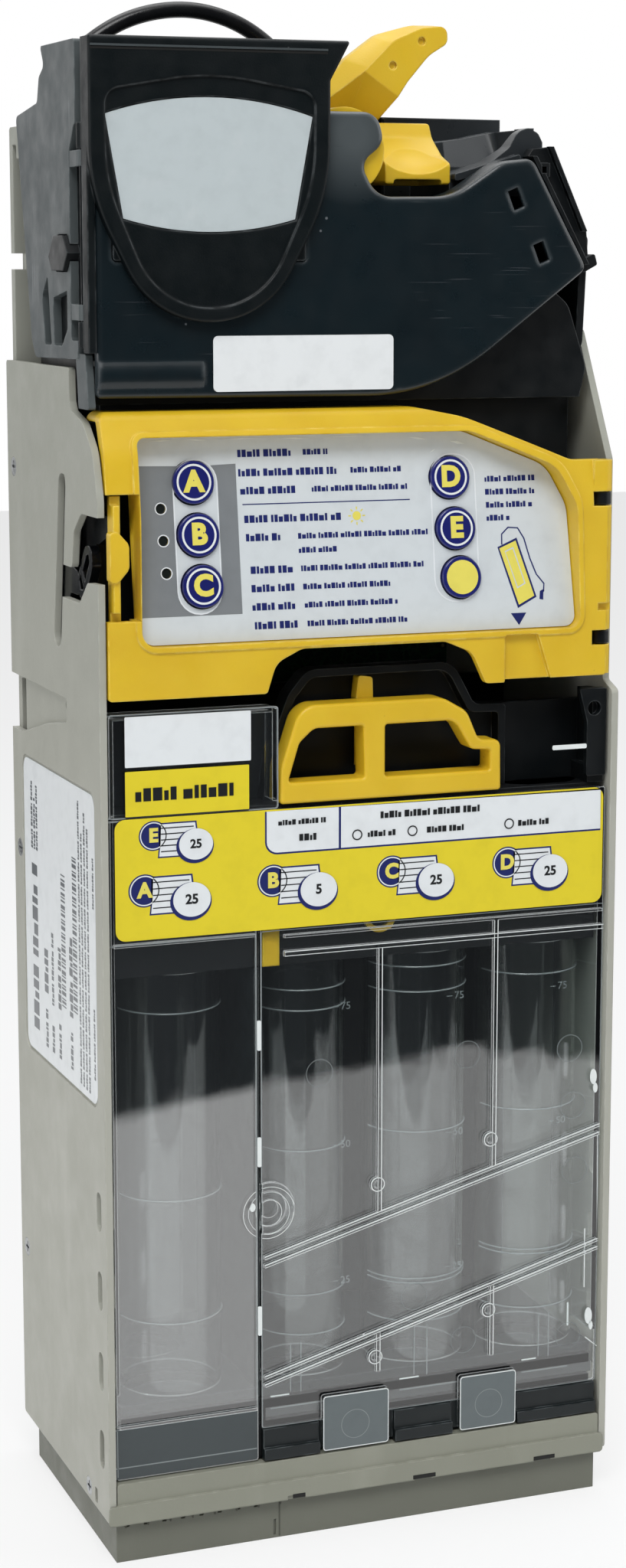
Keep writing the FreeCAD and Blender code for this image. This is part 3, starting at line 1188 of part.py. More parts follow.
# -------------------------------------------------------------------- acceptor
BODY_OUTLINE = [
    (ACC_LEFT, ACC_BOTTOM, 1), (INNER_X - 2.5, ACC_BOTTOM, 3), (INNER_X - 1.3, 327.5, 2), (52.5, 352.8, 3),
    (50.0, 357.8, 1), (ACC_LEFT, DECK_Z, 1),
]
HOOD_OUTLINE = [
    (ACC_LEFT, DECK_Z - 2.5), (-10.5, DECK_Z - 2.5), (-9.2, 364.0), (-6.0, HOOD_TOP, 0.8),
    (ACC_LEFT, HOOD_TOP, 0.8),
]
WELL_X0 = 8.0              # left edge of the well for thumb pad and cup
WELL_BACK = 5.0            # its rear edge, where the cup is seated
CUP_X0 = 28.2
CUP_X1 = 51.0
CUP_Y0 = -22.0
CUP_Y1 = 3.0
CUP_BACK_X0 = 21.0
CUP_BACK_X1 = 53.0


def inset_outline(points, amount):
    """Polygon moved inwards by a wall thickness, its corners kept sharp."""
    count = len(points)
    moved = []
    for i in range(count):
        ax, az = points[i - 1][:2]
        bx, bz = points[i][:2]
        cx, cz = points[(i + 1) % count][:2]
        d1 = math.hypot(bx - ax, bz - az)
        d2 = math.hypot(cx - bx, cz - bz)
        n1 = (-(bz - az) / d1, (bx - ax) / d1)
        n2 = (-(cz - bz) / d2, (cx - bx) / d2)
        scale = amount / (1 + n1[0] * n2[0] + n1[1] * n2[1])
        moved.append((bx + (n1[0] + n2[0]) * scale, bz + (n1[1] + n2[1]) * scale))
    return moved


# Slanted right edge, from its foot to its head, beside the lid and at the outer silhouette
FLANGE_IN = [(61.9, 321.2), (47.2, 347.6)]
FLANGE_OUT = [(INNER_X - 3.3, 329.4), (53.9, 350.0)]
FLANGE_FACE = -27.2
RIDGE_IN_FACE = -29.8
RIDGE_OUT_FACE = -28.6
RIDGE_W = 1.3


def slant_strip(foot, head, width, y0, y1):
    """Strip along the slanted edge; width is measured along X from its left line."""
    corners = [foot, (foot[0] + width, foot[1]), (head[0] + width, head[1]), head]
    return prism_xz(corners, y0, y1)


def make_flange():
    """Flat flange beside the lid with a ridge along each side and a framed catch hole."""
    foot_in, head_in = FLANGE_IN
    foot_out, head_out = FLANGE_OUT
    plate = prism_xz([foot_in, (foot_out[0] + 0.6, foot_in[1] + 1.2), foot_out, head_out, (head_in[0] + 1.2, 349.4),
                      head_in], FLANGE_FACE, ACC_FRONT + 0.5)
    ridge_in = slant_strip(foot_in, head_in, RIDGE_W, RIDGE_IN_FACE, FLANGE_FACE + 0.2)
    ridge_out = slant_strip((foot_out[0] - RIDGE_W - 0.4, foot_out[1]), (head_out[0] - RIDGE_W - 0.4, head_out[1]),
                            RIDGE_W, RIDGE_OUT_FACE, FLANGE_FACE + 0.2)
    frame = box(48.9, 52.5, FLANGE_FACE - 1.4, FLANGE_FACE + 0.2, 342.6, 346.0)
    catch = prism_xz([(62.0, 319.0, 0.6), (66.2, 321.2, 0.6), (65.4, 324.0, 0.6), (61.8, 322.4, 0.6)],
                     FLANGE_FACE - 0.8, ACC_FRONT + 0.5)
    hole = box(49.8, 51.6, FLANGE_FACE - 3, ACC_FRONT - 0.6, 343.5, 345.1)
    flange = cut(join([plate, ridge_in, ridge_out, frame, catch]), [hole])
    return [flange]


def make_acceptor_body():
    outer = prism_xz(BODY_OUTLINE, ACC_FRONT, ACC_BACK)
    hollow = prism_xz(inset_outline(BODY_OUTLINE, SHELL_T), ACC_FRONT - 1, ACC_BACK - SHELL_T)
    rear_slope = prism_yz([(ACC_BACK, DECK_Z + 1), (ACC_BACK + 5, DECK_Z + 1), (ACC_BACK + 5, ACC_BOTTOM - 1),
                           (14.5, ACC_BOTTOM - 1), (14.5, 301.5)], -80, 80)
    inner_slope = prism_yz([(ACC_BACK - SHELL_T, DECK_Z + 1), (ACC_BACK + 5, DECK_Z + 1),
                            (ACC_BACK + 5, ACC_BOTTOM - 1), (12.5, ACC_BOTTOM - 1), (12.5, 301.5)], -80, 80)
    shell = outer.cut(rear_slope).cut(hollow.cut(inner_slope))
    hood = prism_xz(HOOD_OUTLINE, LID_BACK + SEAT, HOOD_BACK)
    hood = hood.cut(prism_xz(inset_outline(HOOD_OUTLINE, SHELL_T), LID_BACK - 1, HOOD_BACK - SHELL_T))
    step_side = [
        (HOOD_BACK - 0.5, DECK_Z - 1), (7.0, DECK_Z - 1), (6.5, 361), (5.2, 366, 1), (HOOD_BACK - 0.5, 368.5),
    ]
    step = prism_yz(step_side, ACC_LEFT, -10.5)
    shell = join([shell, hood, step])
    tools = [
        box(WELL_X0, CUP_BACK_X1 + 1, ACC_FRONT - 1, WELL_BACK, 340.0, DECK_Z + 2),
        box(-64.0, -11.0, LID_BACK - 1, 0.8, 354.0, 360.0),
        box(-13.8, WELL_X0 + 1, ACC_FRONT - 3, HOOD_BACK + 1.0, 356.0, DECK_Z + 2),
    ]
    for point, direction in CABLE_ENDS:
        tools.append(rod(tuple(point - direction * 10.0), tuple(direction), GLAND_R, 9.0))
    shell = cut(shell, tools)
    shell = join([shell] + make_flange())
    # boss that carries the lever pin, tied to the rear wall
    boss = rod_y(LEVER_X, 0.8, ACC_BACK - SHELL_T - 1.0, LEVER_Z, LEVER_BOSS_R)
    boss = boss.cut(rod_y(LEVER_X, 0.0, 6.0, LEVER_Z, LEVER_PIN_R))
    knob = prism_yz(inset_outline(SIDE_KNOB, 0.25), -HALF_WIDTH - 1.2, ACC_LEFT + SHELL_T)
    return join([shell, boss, knob])


def cable_ends():
    """Each end of the cable with the direction in which it leaves."""
    points = [vec(*p) for p in CABLE_POINTS]
    first = (points[1] - points[0]).normalize()
    last = (points[-2] - points[-1]).normalize()
    return [(points[0], first), (points[-1], last)]


GLAND_R = 2.9
GLAND_LENGTH = 7.5
CABLE_ENDS = cable_ends()


def make_glands():
    solids = []
    for point, direction in CABLE_ENDS:
        start = point - direction * GLAND_LENGTH
        body = rod(tuple(start), tuple(direction), GLAND_R - RUN, GLAND_LENGTH)
        collar = rod(tuple(point - direction * 1.6), tuple(direction), GLAND_R + 0.9, 1.2)
        solids.append(join([body, collar]))
    return Part.makeCompound(solids)


def route_wire(points):
    """Straight runs joined by tangent arcs; prints each arc's radius."""
    corners = [vec(*p) for p in points]
    edges = []
    position = corners[0]
    for i in range(1, len(corners) - 1):
        before, corner, after = corners[i - 1], corners[i], corners[i + 1]
        into = before - corner
        out = after - corner
        turn = math.pi - into.getAngle(out)
        radius = 0.45 * min(into.Length, out.Length) / math.tan(turn / 2)
        start, middle, end = corner_trim(before, corner, after, radius)
        print("cable bend %d radius %.1f mm" % (i, radius))
        edges.append(Part.LineSegment(position, start).toShape())
        edges.append(Part.Arc(start, middle, end).toShape())
        position = end
    edges.append(Part.LineSegment(position, corners[-1]).toShape())
    return Part.Wire(edges)


def make_cable():
    path = route_wire(CABLE_POINTS)
    point, direction = CABLE_ENDS[0]
    ring = Part.Wire([Part.Circle(point, direction, CABLE_D / 2).toShape()])
    cable = path.makePipeShell([ring], True, False)
    section = math.pi * (CABLE_D / 2) ** 2
    print("cable length %.1f mm, volume over section times length %.4f"
          % (path.Length, cable.Volume / (section * path.Length)))
    return cable


SIDE_PROFILE = [
    (LID_HINGE_Y + 2.6, 299.2, 0.8), (12.0, 298.6, 3), (15.2, 303.0, 3), (ACC_BACK, 357.5, 1.5),
    (7.2, 360.0, 1.5), (5.2, 366.0, 1.5), (0.6, 368.4, 1.5), (3.6, 373.2, 0.6),
    (LID_HINGE_Y + 2.6, HOOD_TOP, 0.8),
]


# Side view of the knob that comes from the acceptor body through the side cover
SIDE_KNOB = [(-21.8, 324.0, 1), (-17.6, 319.6, 1), (-7.6, 319.6, 1), (-4.8, 323.2, 1), (-9.4, 328.4, 1),
             (-18.0, 328.4, 1)]


def make_side_cover():
    x0, x1 = -HALF_WIDTH, ACC_LEFT - RUN
    plate = prism_yz(SIDE_PROFILE, x0, x1)
    leg_side = [(-32.6, 287.6, 0.6), (-24.4, 287.6, 0.6), (-22.6, 300.5, 0.6), (-30.6, 300.5, 0.6)]
    leg = prism_yz(leg_side, x0 + 0.3, x1)
    tools = [
        prism_yz([(-3.0, 302.0, 0.6), (3.0, 302.0, 0.6), (5.2, 314.0, 1), (0.0, 318.8, 0.6)], x0 - 1, x1 + 1),
        prism_yz([(-17.0, 306.0, 0.6), (-12.0, 302.0, 0.6), (-5.0, 302.0, 0.6), (-4.6, 313.4, 0.6),
                  (-17.0, 315.2, 0.6)], x0 - 1, x1 + 1),
        # the cover is cut back beside the lid's hinge
        prism_yz([(-30.0, 303.5), (-20.0, 303.5, 1), (-20.0, 347.5, 2), (-24.0, 353.5, 2), (-30.0, 356.0)],
                 x0 - 1, x1 + 1),
        prism_yz(SIDE_KNOB, x0 - 1, x1 + 1),
    ]
    plate = cut(join([plate, leg]), tools)
    pieces = [plate]
    for z0, z1 in LID_EYES:
        pieces.append(rod_z(LID_HINGE_X, LID_HINGE_Y, z0, z1, LID_KNUCKLE_R))
        pieces.append(box(LID_HINGE_X - 1.2, LID_HINGE_X + 0.8, LID_HINGE_Y, -19.0, z0, z1))
    cover = join(pieces)
    return cut(cover, [rod_z(LID_HINGE_X, LID_HINGE_Y, z0 - 1, z1 + 1, LID_PIN_R) for z0, z1 in LID_EYES])


LID_EYES = [(308.3, 312.0), (344.0, 347.7)]
LID_KNUCKLES = [(302.0, 308.0), (348.0, 354.0)]

LID_OUTLINE = [
    (ACC_LEFT - 0.1, 290.2, 1.5), (20.5, 289.7, 53), (60.7, 320.2, 2.2), (45.6, 347.0, 3.5), (37.0, 346.0, 8),
    (24.0, 337.6, 16), (4.4, 337.4, 6.5), (0.4, 345.2, 3.5), (6.4, 350.0, 4), (4.6, 357.3, 7),
    (-12.0, 357.3), (ACC_LEFT - 0.1, 357.3),
]
HEAD_LEFT = -HALF_WIDTH + 0.1
HEAD_OUTLINE = [
    (HEAD_LEFT, HOOD_TOP + 0.2, 0.6), (HEAD_LEFT, 338.0, 45), (-53.0, 307.9, 23.4), (-25.0, 307.9, 23.4),
    (-8.8, 338.0, 45), (-8.7, HOOD_TOP - 9.0, 1.0), (-3.6, HOOD_TOP + 0.2, 0.5),
]
BADGE = [(-64.4, 355.7, 1), (-60.2, 331.9, 1), (-17.6, 331.9, 1), (-13.2, 355.7, 1)]
BADGE_RISE = 4.1           # crown of the badge's top edge
BADGE_SAG = 3.0            # drop of the badge's lower edge


def badge_face(grow, y):
    left_top = vec(BADGE[0][0] - grow, y, BADGE[0][1] + grow)
    right_top = vec(BADGE[3][0] + grow, y, BADGE[3][1] + grow)
    left_low = vec(BADGE[1][0] - grow, y, BADGE[1][1] - grow)
    right_low = vec(BADGE[2][0] + grow, y, BADGE[2][1] - grow)
    middle_x = (left_top.x + right_top.x) / 2
    crown = vec(middle_x, y, left_top.z + BADGE_RISE)
    dip = vec(middle_x, y, left_low.z - BADGE_SAG)
    edges = [
        Part.Arc(left_top, crown, right_top).toShape(),
        Part.LineSegment(right_top, right_low).toShape(),
        Part.Arc(right_low, dip, left_low).toShape(),
        Part.LineSegment(left_low, left_top).toShape(),
    ]
    return Part.Face(Part.Wire(edges))


LID_ROUND = 1.3            # rounding of the lid's front edges
BADGE_DEPTH = 0.7
BADGE_T = 0.5
WINDOWS = [(41.0, 337.1), (48.0, 324.2)]


def make_lid():
    outer = prism_xz(LID_OUTLINE, LID_FACE, LID_BACK)
    beside_head = lambda c: c.x < -60 or (c.z > 357 and c.x < -5)
    outer = soften(outer, LID_ROUND, lambda c: abs(c.y - LID_FACE) < 0.01 and not beside_head(c))
    hollow = prism_xz(inset_outline(LID_OUTLINE, LID_T), LID_FACE + LID_T, LID_BACK + 1)
    shell = outer.cut(hollow)
    tools = [
        # the lever hub stands close behind the face here
        box(-15.0, 8.2, LID_FACE + LID_T + 0.3, LID_BACK + 1, 337.5, 362.0),
        # room round the hinge and the side cover's leg
        box(-70.0, -62.8, LID_FACE + LID_T, LID_BACK + 1, 285.0, 360.0),
        # the bezel passes through here
        prism_xz(rect(-62.5, -14.0, 322.0, 358.5, 1.0), LID_FACE - 1, LID_FACE + LID_T + 1),
    ]
    for x, z in WINDOWS:
        window = box(x - 1.5, x + 1.5, LID_FACE - 2, LID_FACE + LID_T + 1, z - 2.5, z + 2.5)
        window.rotate(vec(x, 0, z), vec(0, 1, 0), -22)
        tools.append(window)
    shell = cut(shell, tools)
    rounded = rod_x(-66.2, -40.0, LID_FACE + 4.2, 295.6, 5.2)
    rounded = rounded.common(box(-67, -39, LID_FACE - 1.0, LID_FACE + 1.0, 290.5, 301.5))
    return join([shell, rounded])


def make_bezel():
    plate = prism_xz(HEAD_OUTLINE, HEAD_FACE, LID_FACE)
    plate = soften(plate, 0.8, lambda c: abs(c.y - HEAD_FACE) < 0.01 and c.z < 372)
    inner = [
        (-64.6, 361.2, 4), (-64.4, 340.0, 40), (-52.0, 311.2, 20), (-26.0, 311.2, 20), (-12.8, 340.0, 40),
        (-12.6, 361.2, 4), (-39.0, 365.5, 60),
    ]
    recess = prism_xz(inner, HEAD_FACE - 1, HEAD_FACE + 0.6)
    seat = badge_face(0.2, HEAD_FACE - 1).extrude(vec(0, 1 + 0.6 + BADGE_DEPTH, 0))
    plate = plate.cut(recess).cut(seat)
    plug = prism_xz(rect(-62.3, -14.2, 322.2, 357.0, 0.8), LID_FACE - 0.5, LID_FACE + LID_T)
    # left post, from the head's edge back to the hinge, and the knuckles
    post = box(HEAD_LEFT, HEAD_LEFT + 1.9, LID_FACE - 0.5, LID_HINGE_Y - 2.2, 300.8, HOOD_TOP)
    top = box(HEAD_LEFT + 0.2, -10.5, LID_FACE - 1, LID_HINGE_Y - 2.2, 371.0, HOOD_TOP)
    knuckles = []
    for z0, z1 in LID_KNUCKLES:
        knuckles.append(rod_z(LID_HINGE_X, LID_HINGE_Y, z0, z1, LID_KNUCKLE_R))
        knuckles.append(box(LID_HINGE_X - 1.2, LID_HINGE_X + 1.0, LID_HINGE_Y - 2.6, LID_HINGE_Y, z0, z1))
    body = join([plate, plug, post, top] + knuckles)
    bores = [rod_z(LID_HINGE_X, LID_HINGE_Y, z0 - 1, z1 + 1, LID_PIN_R + RUN) for z0, z1 in LID_KNUCKLES]
    return cut(body, bores)


def make_badge():
    face = badge_face(0.0, HEAD_FACE + 0.6 + BADGE_DEPTH - BADGE_T)
    return face.extrude(vec(0, BADGE_T, 0))


def make_sticker():
    plate = prism_xz(rect(-37.6, 8.6, 291.4, 304.6, 1.2), LID_FACE - 0.2, LID_FACE)
    return plate


LEVER_BACK = 0.5           # rear face of the lever's root
ARM_FACE = -13.0
ARM_FULL = -7.0            # here the arm has its full outline
ARM = [
    (-8.0, 350.0, 2), (-6.0, 356.0, 8), (0.2, 364.0, 5), (6.4, 371.2, 6), (15.0, 377.4, 7),
    (24.0, 379.8, 7), (31.6, 379.9, 2.0), (31.8, 375.0, 2.2), (26.8, 372.0, 9), (21.0, 365.6, 12),
    (14.0, 355.4, 4), (4.0, 347.0),
]
ARM_FRONT = [
    (-5.0, 349.6, 2), (-3.0, 354.5, 8), (3.8, 361.8, 5), (10.2, 369.0, 6), (17.0, 375.6, 7),
    (24.4, 378.8, 6), (31.2, 379.4, 2.0), (31.4, 375.2, 2.2), (26.4, 372.2, 9), (20.8, 365.8, 12),
    (13.8, 355.6, 4), (4.0, 347.2),
]
# Side view of the arm: upright in front, then undercut down to the root
ARM_SIDE = [
    (ARM_FACE - 1, 390.0), (ARM_FACE - 1, 380.0), (ARM_FACE - 1, 340.0), (LEVER_BACK, 340.0),
    (LEVER_BACK, 360.0, 2),
    (-4.0, 367.5, 2), (-4.0, 390.0),
]
ARM_FOLD = (9.5, 368.0)    # corner from which the undercut's two fold lines fall
ARM_FOLD_ANGLES = (34.0, -16.0)
PAD_BACK = -9.0
PAD_X0 = 9.9
PAD_X1 = 27.0
PAD_SIDE = [
    (-25.3, 340.6, 0.6), (-25.3, 345.6, 1.2), (-20.0, 347.6, 5), (-13.6, 352.2, 4), (-11.6, 355.8, 0.8),
    (PAD_BACK, 355.8, 0.6), (PAD_BACK, 340.6, 0.6),
]


def make_lever():
    disc = rod_y(LEVER_X, -31.6, -25.0, LEVER_Z, HUB_R)
    hub = rod_y(LEVER_X, -25.2, LEVER_BACK, LEVER_Z, 7.4)
    arm_front = outline(ARM_FRONT, lambda a, b: vec(a, ARM_FACE, b)).OuterWire
    arm_full = outline(ARM, lambda a, b: vec(a, ARM_FULL, b)).OuterWire
    taper = Part.makeLoft([arm_front, arm_full], True, True)
    arm = join([taper, prism_xz(ARM, ARM_FULL, LEVER_BACK)])
    arm = arm.common(prism_yz(ARM_SIDE, -20, 40))
    folds = []
    for angle in ARM_FOLD_ANGLES:
        fold = prism_yz([(ARM_FACE - 2, 2.8), (ARM_FACE + 7.6, -10.5), (ARM_FACE + 7.6, -40),
                         (ARM_FACE - 2, -40)], -60, 60)
        fold.translate(vec(ARM_FOLD[0], 0, ARM_FOLD[1]))
        fold.rotate(vec(ARM_FOLD[0], 0, ARM_FOLD[1]), vec(0, 1, 0), angle)
        folds.append(fold)
    arm = arm.cut(folds[0].common(folds[1]))
    scoop = prism_xz([
        (3.0, 355.8), (PAD_X1, 355.8, 0.8), (PAD_X1, 340.6, 0.8), (PAD_X0, 340.6, 0.8),
        (PAD_X0, 348.0, 1.0), (3.0, 349.0),
    ], -25.3, PAD_BACK).common(prism_yz(PAD_SIDE, 0, 30))
    # hollow underneath, open to the front between two side cheeks
    scoop = scoop.cut(prism_xz(rect(PAD_X0 + 2.2, PAD_X1 - 2.2, 335.0, 341.8, 0.8), -27, PAD_BACK - 2.0))
    # thumb dish across the slope
    scoop = scoop.cut(Part.makeSphere(15.5, vec((PAD_X0 + PAD_X1) / 2, -30.7, 357.5)))
    lever = join([disc, hub, arm, scoop])
    tools = [rod_y(LEVER_X, -40.0, 6.0, LEVER_Z, LEVER_PIN_R + RUN)]
    for x, z in [(24.5, 375.6), (16.8, 369.6)]:
        tools.append(rod_y(x, ARM_FACE - 1, ARM_FACE + 0.9, z, 1.0))
    return cut(lever, tools)


def make_lever_pins():
    lever_pin = rod_y(LEVER_X, -31.6, 6.0, LEVER_Z, LEVER_PIN_R)
    side_pin = rod_x(-LEVER2_OUT - 0.2, -58.5, LEVER2_Y, LEVER2_Z, LEVER2_PIN_R)
    return Part.makeCompound([lever_pin, side_pin])


def make_hinge_pins():
    door_pin = rod_z(HINGE_X, HINGE_Y, 220.0, 272.8, HINGE_PIN_R)
    lid_pin = rod_z(LID_HINGE_X, LID_HINGE_Y, 302.2, 353.8, LID_PIN_R)
    return Part.makeCompound([door_pin, lid_pin])


# Front wall of the cup: low on the left, then an S-curve up to the shoulder
CUP_FRONT_RIM = [
    (CUP_X0 - 1, 360.0), (CUP_X0 - 1, 342.9), (34.0, 344.6, 6), (39.6, 346.4, 6), (44.4, 349.8, 3.5),
    (46.6, 353.6, 3), (49.0, 354.6, 2), (60.0, 354.6), (60.0, 360.0),
]
CUP_REAR_RIM = [
    (CUP_X0 - 1, 360.0), (CUP_X0 - 1, 351.0), (40.0, 352.6), (49.6, 354.4), (60.0, 354.6), (60.0, 360.0),
]
CUP_LOW_BACK = -13.0       # the low part of the rim ends here
SHOULDER_X = 53.4
THROAT_Y0 = -12.0
THROAT_Y1 = -7.0


def make_cup():
    block = box(CUP_X0, CUP_X1, CUP_Y0, CUP_Y1, 338.0, 356.0)
    shoulder = prism_xz([(CUP_X1 - 1, 338.0), (CUP_X1 - 1, 354.5, 1.0), (52.2, 353.4, 2), (SHOULDER_X, 351.2),
                         (SHOULDER_X, 338.0)], CUP_Y0, CUP_Y1)
    outer = join([block, shoulder])
    outer = outer.cut(prism_xz(CUP_FRONT_RIM, CUP_Y0 - 1, CUP_LOW_BACK))
    outer = outer.cut(prism_xz(CUP_REAR_RIM, CUP_LOW_BACK - 1, CUP_Y1 + 1))
    mouth_points = rect(CUP_X0 + 1.6, CUP_X1 - 1.6, CUP_Y0 + 1.6, CUP_Y1 - 1.6, 3.0)
    mouth = outline(mouth_points, lambda a, b: vec(a, b, 356.0))
    throat_points = rect(CUP_X0 + 3.0, CUP_X1 - 2.2, THROAT_Y0, THROAT_Y1, 1.0)
    throat = outline(throat_points, lambda a, b: vec(a, b, 344.0))
    funnel = Part.makeLoft([mouth.OuterWire, throat.OuterWire], True, True)
    slot = prism_xy(throat_points, 337.0, 344.5)
    cup = outer.cut(funnel).cut(slot)
    back_wall = box(CUP_BACK_X0, CUP_BACK_X1, CUP_Y1, WELL_BACK, 338.0, DECK_Z - 0.8)
    # slanted guide rail between the cup and the lid
    rail = prism_xz([(CUP_X0 + 0.4, 341.4, 0.5), (CUP_X0 + 0.4, 343.2, 0.5), (46.2, 348.2, 0.5), (46.2, 346.4, 0.5)],
                    ACC_FRONT - 0.8, CUP_Y0 + 0.5)
    return join([cup, back_wall, rail])


def make_flight_deck():
    """Inclined runway that carries the coins past the sensors."""
    front = [(-58.0, 311.0), (40.0, 326.0), (46.0, 333.0), (46.0, 303.0), (-58.0, 303.0)]
    plate = prism_xz(front, -12.6, -11.0)
    rail = prism_xz([(-58.0, 309.0), (40.0, 324.0), (40.0, 326.0), (-58.0, 311.0)], -11.4, -5.0)
    back = prism_xz([(-58.0, 303.0), (-58.0, 330.0), (30.0, 336.0), (46.0, 336.0), (46.0, 303.0)], -5.4, -3.8)
    tie = box(-50.0, 40.0, -4.2, 11.0, 303.0, 305.0)
    floor_tie = box(-50.0, 40.0, -12.6, -11.0, ACC_BOTTOM + SHELL_T, 304.0)
    return join([plate, rail, back, tie, floor_tie])


def make_acceptor_board():
    board = box(-56.0, 44.0, -0.6, 1.0, 308.0, 330.0)
    solids = [board]
    for x in (-40.0, -14.0, 12.0):
        solids.append(rod_y(x, -3.8, -0.6, 318.0, 6.0))
    for x in (-48.0, 34.0):
        solids.append(box(x - 3, x + 3, 1.0, 4.0, 312.0, 326.0))
    solids.append(box(-50.0, -44.0, -0.6, 1.0, 305.0, 308.0))
    solids.append(box(32.0, 38.0, -0.6, 1.0, 305.0, 308.0))
    board_whole = join([solids[0], solids[-1], solids[-2]])
    return Part.makeCompound([board_whole] + solids[1:-2])


def make_lever_spring():
    return wound_sleeve(LEVER_X, 6.0, LEVER_Z, LEVER_BOSS_R, 0.9, 8)


keep("acceptor_body", make_acceptor_body())
keep("lever_spring", make_lever_spring())
keep("acceptor_side_cover", make_side_cover())
keep("coin_entry_cup", make_cup())
keep("flight_deck", make_flight_deck())
keep("acceptor_board", make_acceptor_board())
keep("lever_pins", make_lever_pins())
keep("hinge_pins", make_hinge_pins())
keep("lid_shell", make_lid())
keep("badge_bezel", make_bezel())
keep("badge_plate", make_badge())
keep("lid_sticker", make_sticker())
keep("reject_lever", make_lever())
keep("cable_glands", make_glands())
keep("harness_cable", make_cable())


# ------------------------------------------------------------------------ write
os.makedirs("parts", exist_ok=True)
for part_name, part_shape in PARTS.items():
    problems = "" if part_shape.isValid() else "  NOT VALID"
    part_shape.exportStep(os.path.join("parts", part_name + ".step"))
    print("%-22s %2d solids %9.0f mm3%s" % (part_name, len(part_shape.Solids), part_shape.Volume, problems))
print("nodes", len(PARTS))
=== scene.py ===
import math

import bmesh
import bpy
from mathutils import Matrix, Vector


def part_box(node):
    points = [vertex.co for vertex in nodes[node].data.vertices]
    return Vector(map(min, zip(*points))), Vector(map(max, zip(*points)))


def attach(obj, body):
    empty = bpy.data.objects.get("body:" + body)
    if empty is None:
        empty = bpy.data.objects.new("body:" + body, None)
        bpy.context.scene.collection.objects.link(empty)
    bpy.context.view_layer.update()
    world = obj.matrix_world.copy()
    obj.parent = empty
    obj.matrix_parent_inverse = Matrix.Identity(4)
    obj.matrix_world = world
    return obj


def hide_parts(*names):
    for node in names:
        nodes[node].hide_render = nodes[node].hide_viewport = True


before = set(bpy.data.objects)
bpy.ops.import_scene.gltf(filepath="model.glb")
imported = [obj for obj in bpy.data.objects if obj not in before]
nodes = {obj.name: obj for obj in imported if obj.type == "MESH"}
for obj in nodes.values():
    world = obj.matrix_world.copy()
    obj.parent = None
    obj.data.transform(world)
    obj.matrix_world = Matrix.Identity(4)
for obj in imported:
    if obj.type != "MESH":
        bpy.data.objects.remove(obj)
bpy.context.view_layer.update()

MM = 0.001


def mm(x, y, z):
    """A place given in millimetres, in metres."""
    return Vector((x, y, z)) * MM


def srgb(red, green, blue):
    """Linear colour of an sRGB colour given as 0 to 255."""
    linear = []
    for part in (red, green, blue):
        value = part / 255
        linear.append(value / 12.92 if value <= 0.04045 else ((value + 0.055) / 1.055) ** 2.4)
    return tuple(linear)


def add_object(name, data):
    """Puts data in the scene as an object."""
    made = bpy.data.objects.new(name, data)
    bpy.context.scene.collection.objects.link(made)
    return made


def add_solid(name, shape, material):
    """Puts a bmesh in the scene as an object of one material."""
    mesh = bpy.data.meshes.new(name)
    shape.to_mesh(mesh)
    shape.free()
    mesh.materials.append(material)
    return add_object(name, mesh)


# ---------------------------------------------------------------------- camera
AZIMUTH = math.radians(-20.727)
ELEVATION = math.radians(10.148)
CAMERA_PLACE = mm(-265.67, -703.74, 323.05)
LENS = 67.58  # mm, for a sensor of 36 mm on the picture's long side
CLIP_START = 0.01


def make_camera():
    camera = add_object("camera", bpy.data.cameras.new("camera"))
    camera.data.lens = LENS
    camera.data.clip_start = CLIP_START
    camera.location = CAMERA_PLACE
    back = Vector((math.sin(AZIMUTH) * math.cos(ELEVATION), -math.cos(AZIMUTH) * math.cos(ELEVATION),
                   math.sin(ELEVATION)))
    camera.rotation_euler = (-back).to_track_quat("-Z", "Y").to_euler()
    bpy.context.scene.camera = camera


# ------------------------------------------------------------------- materials
EVEN = (1.0, 1.0, 1.0)
MATERIALS = {}  # the material of every finish, by the finish's name
BEVEL_SAMPLES = 8
EDGE_SAMPLES = 6
EDGE_FROM, EDGE_TO = 0.99, 0.82  # cosines of the turn at which an edge's mask starts and is full
WEAR_PATCH = 0.004  # metres across the patches in which edges are worn


def add_node(tree, kind, inputs=None, **settings):
    """A new node with its settings; each input is linked to the socket or set to the value given."""
    new = tree.nodes.new(kind)
    for key, value in settings.items():
        setattr(new, key, value)
    for key, value in (inputs or {}).items():
        if isinstance(value, bpy.types.NodeSocket):
            tree.links.new(value, new.inputs[key])
        else:
            new.inputs[key].default_value = value
    return new


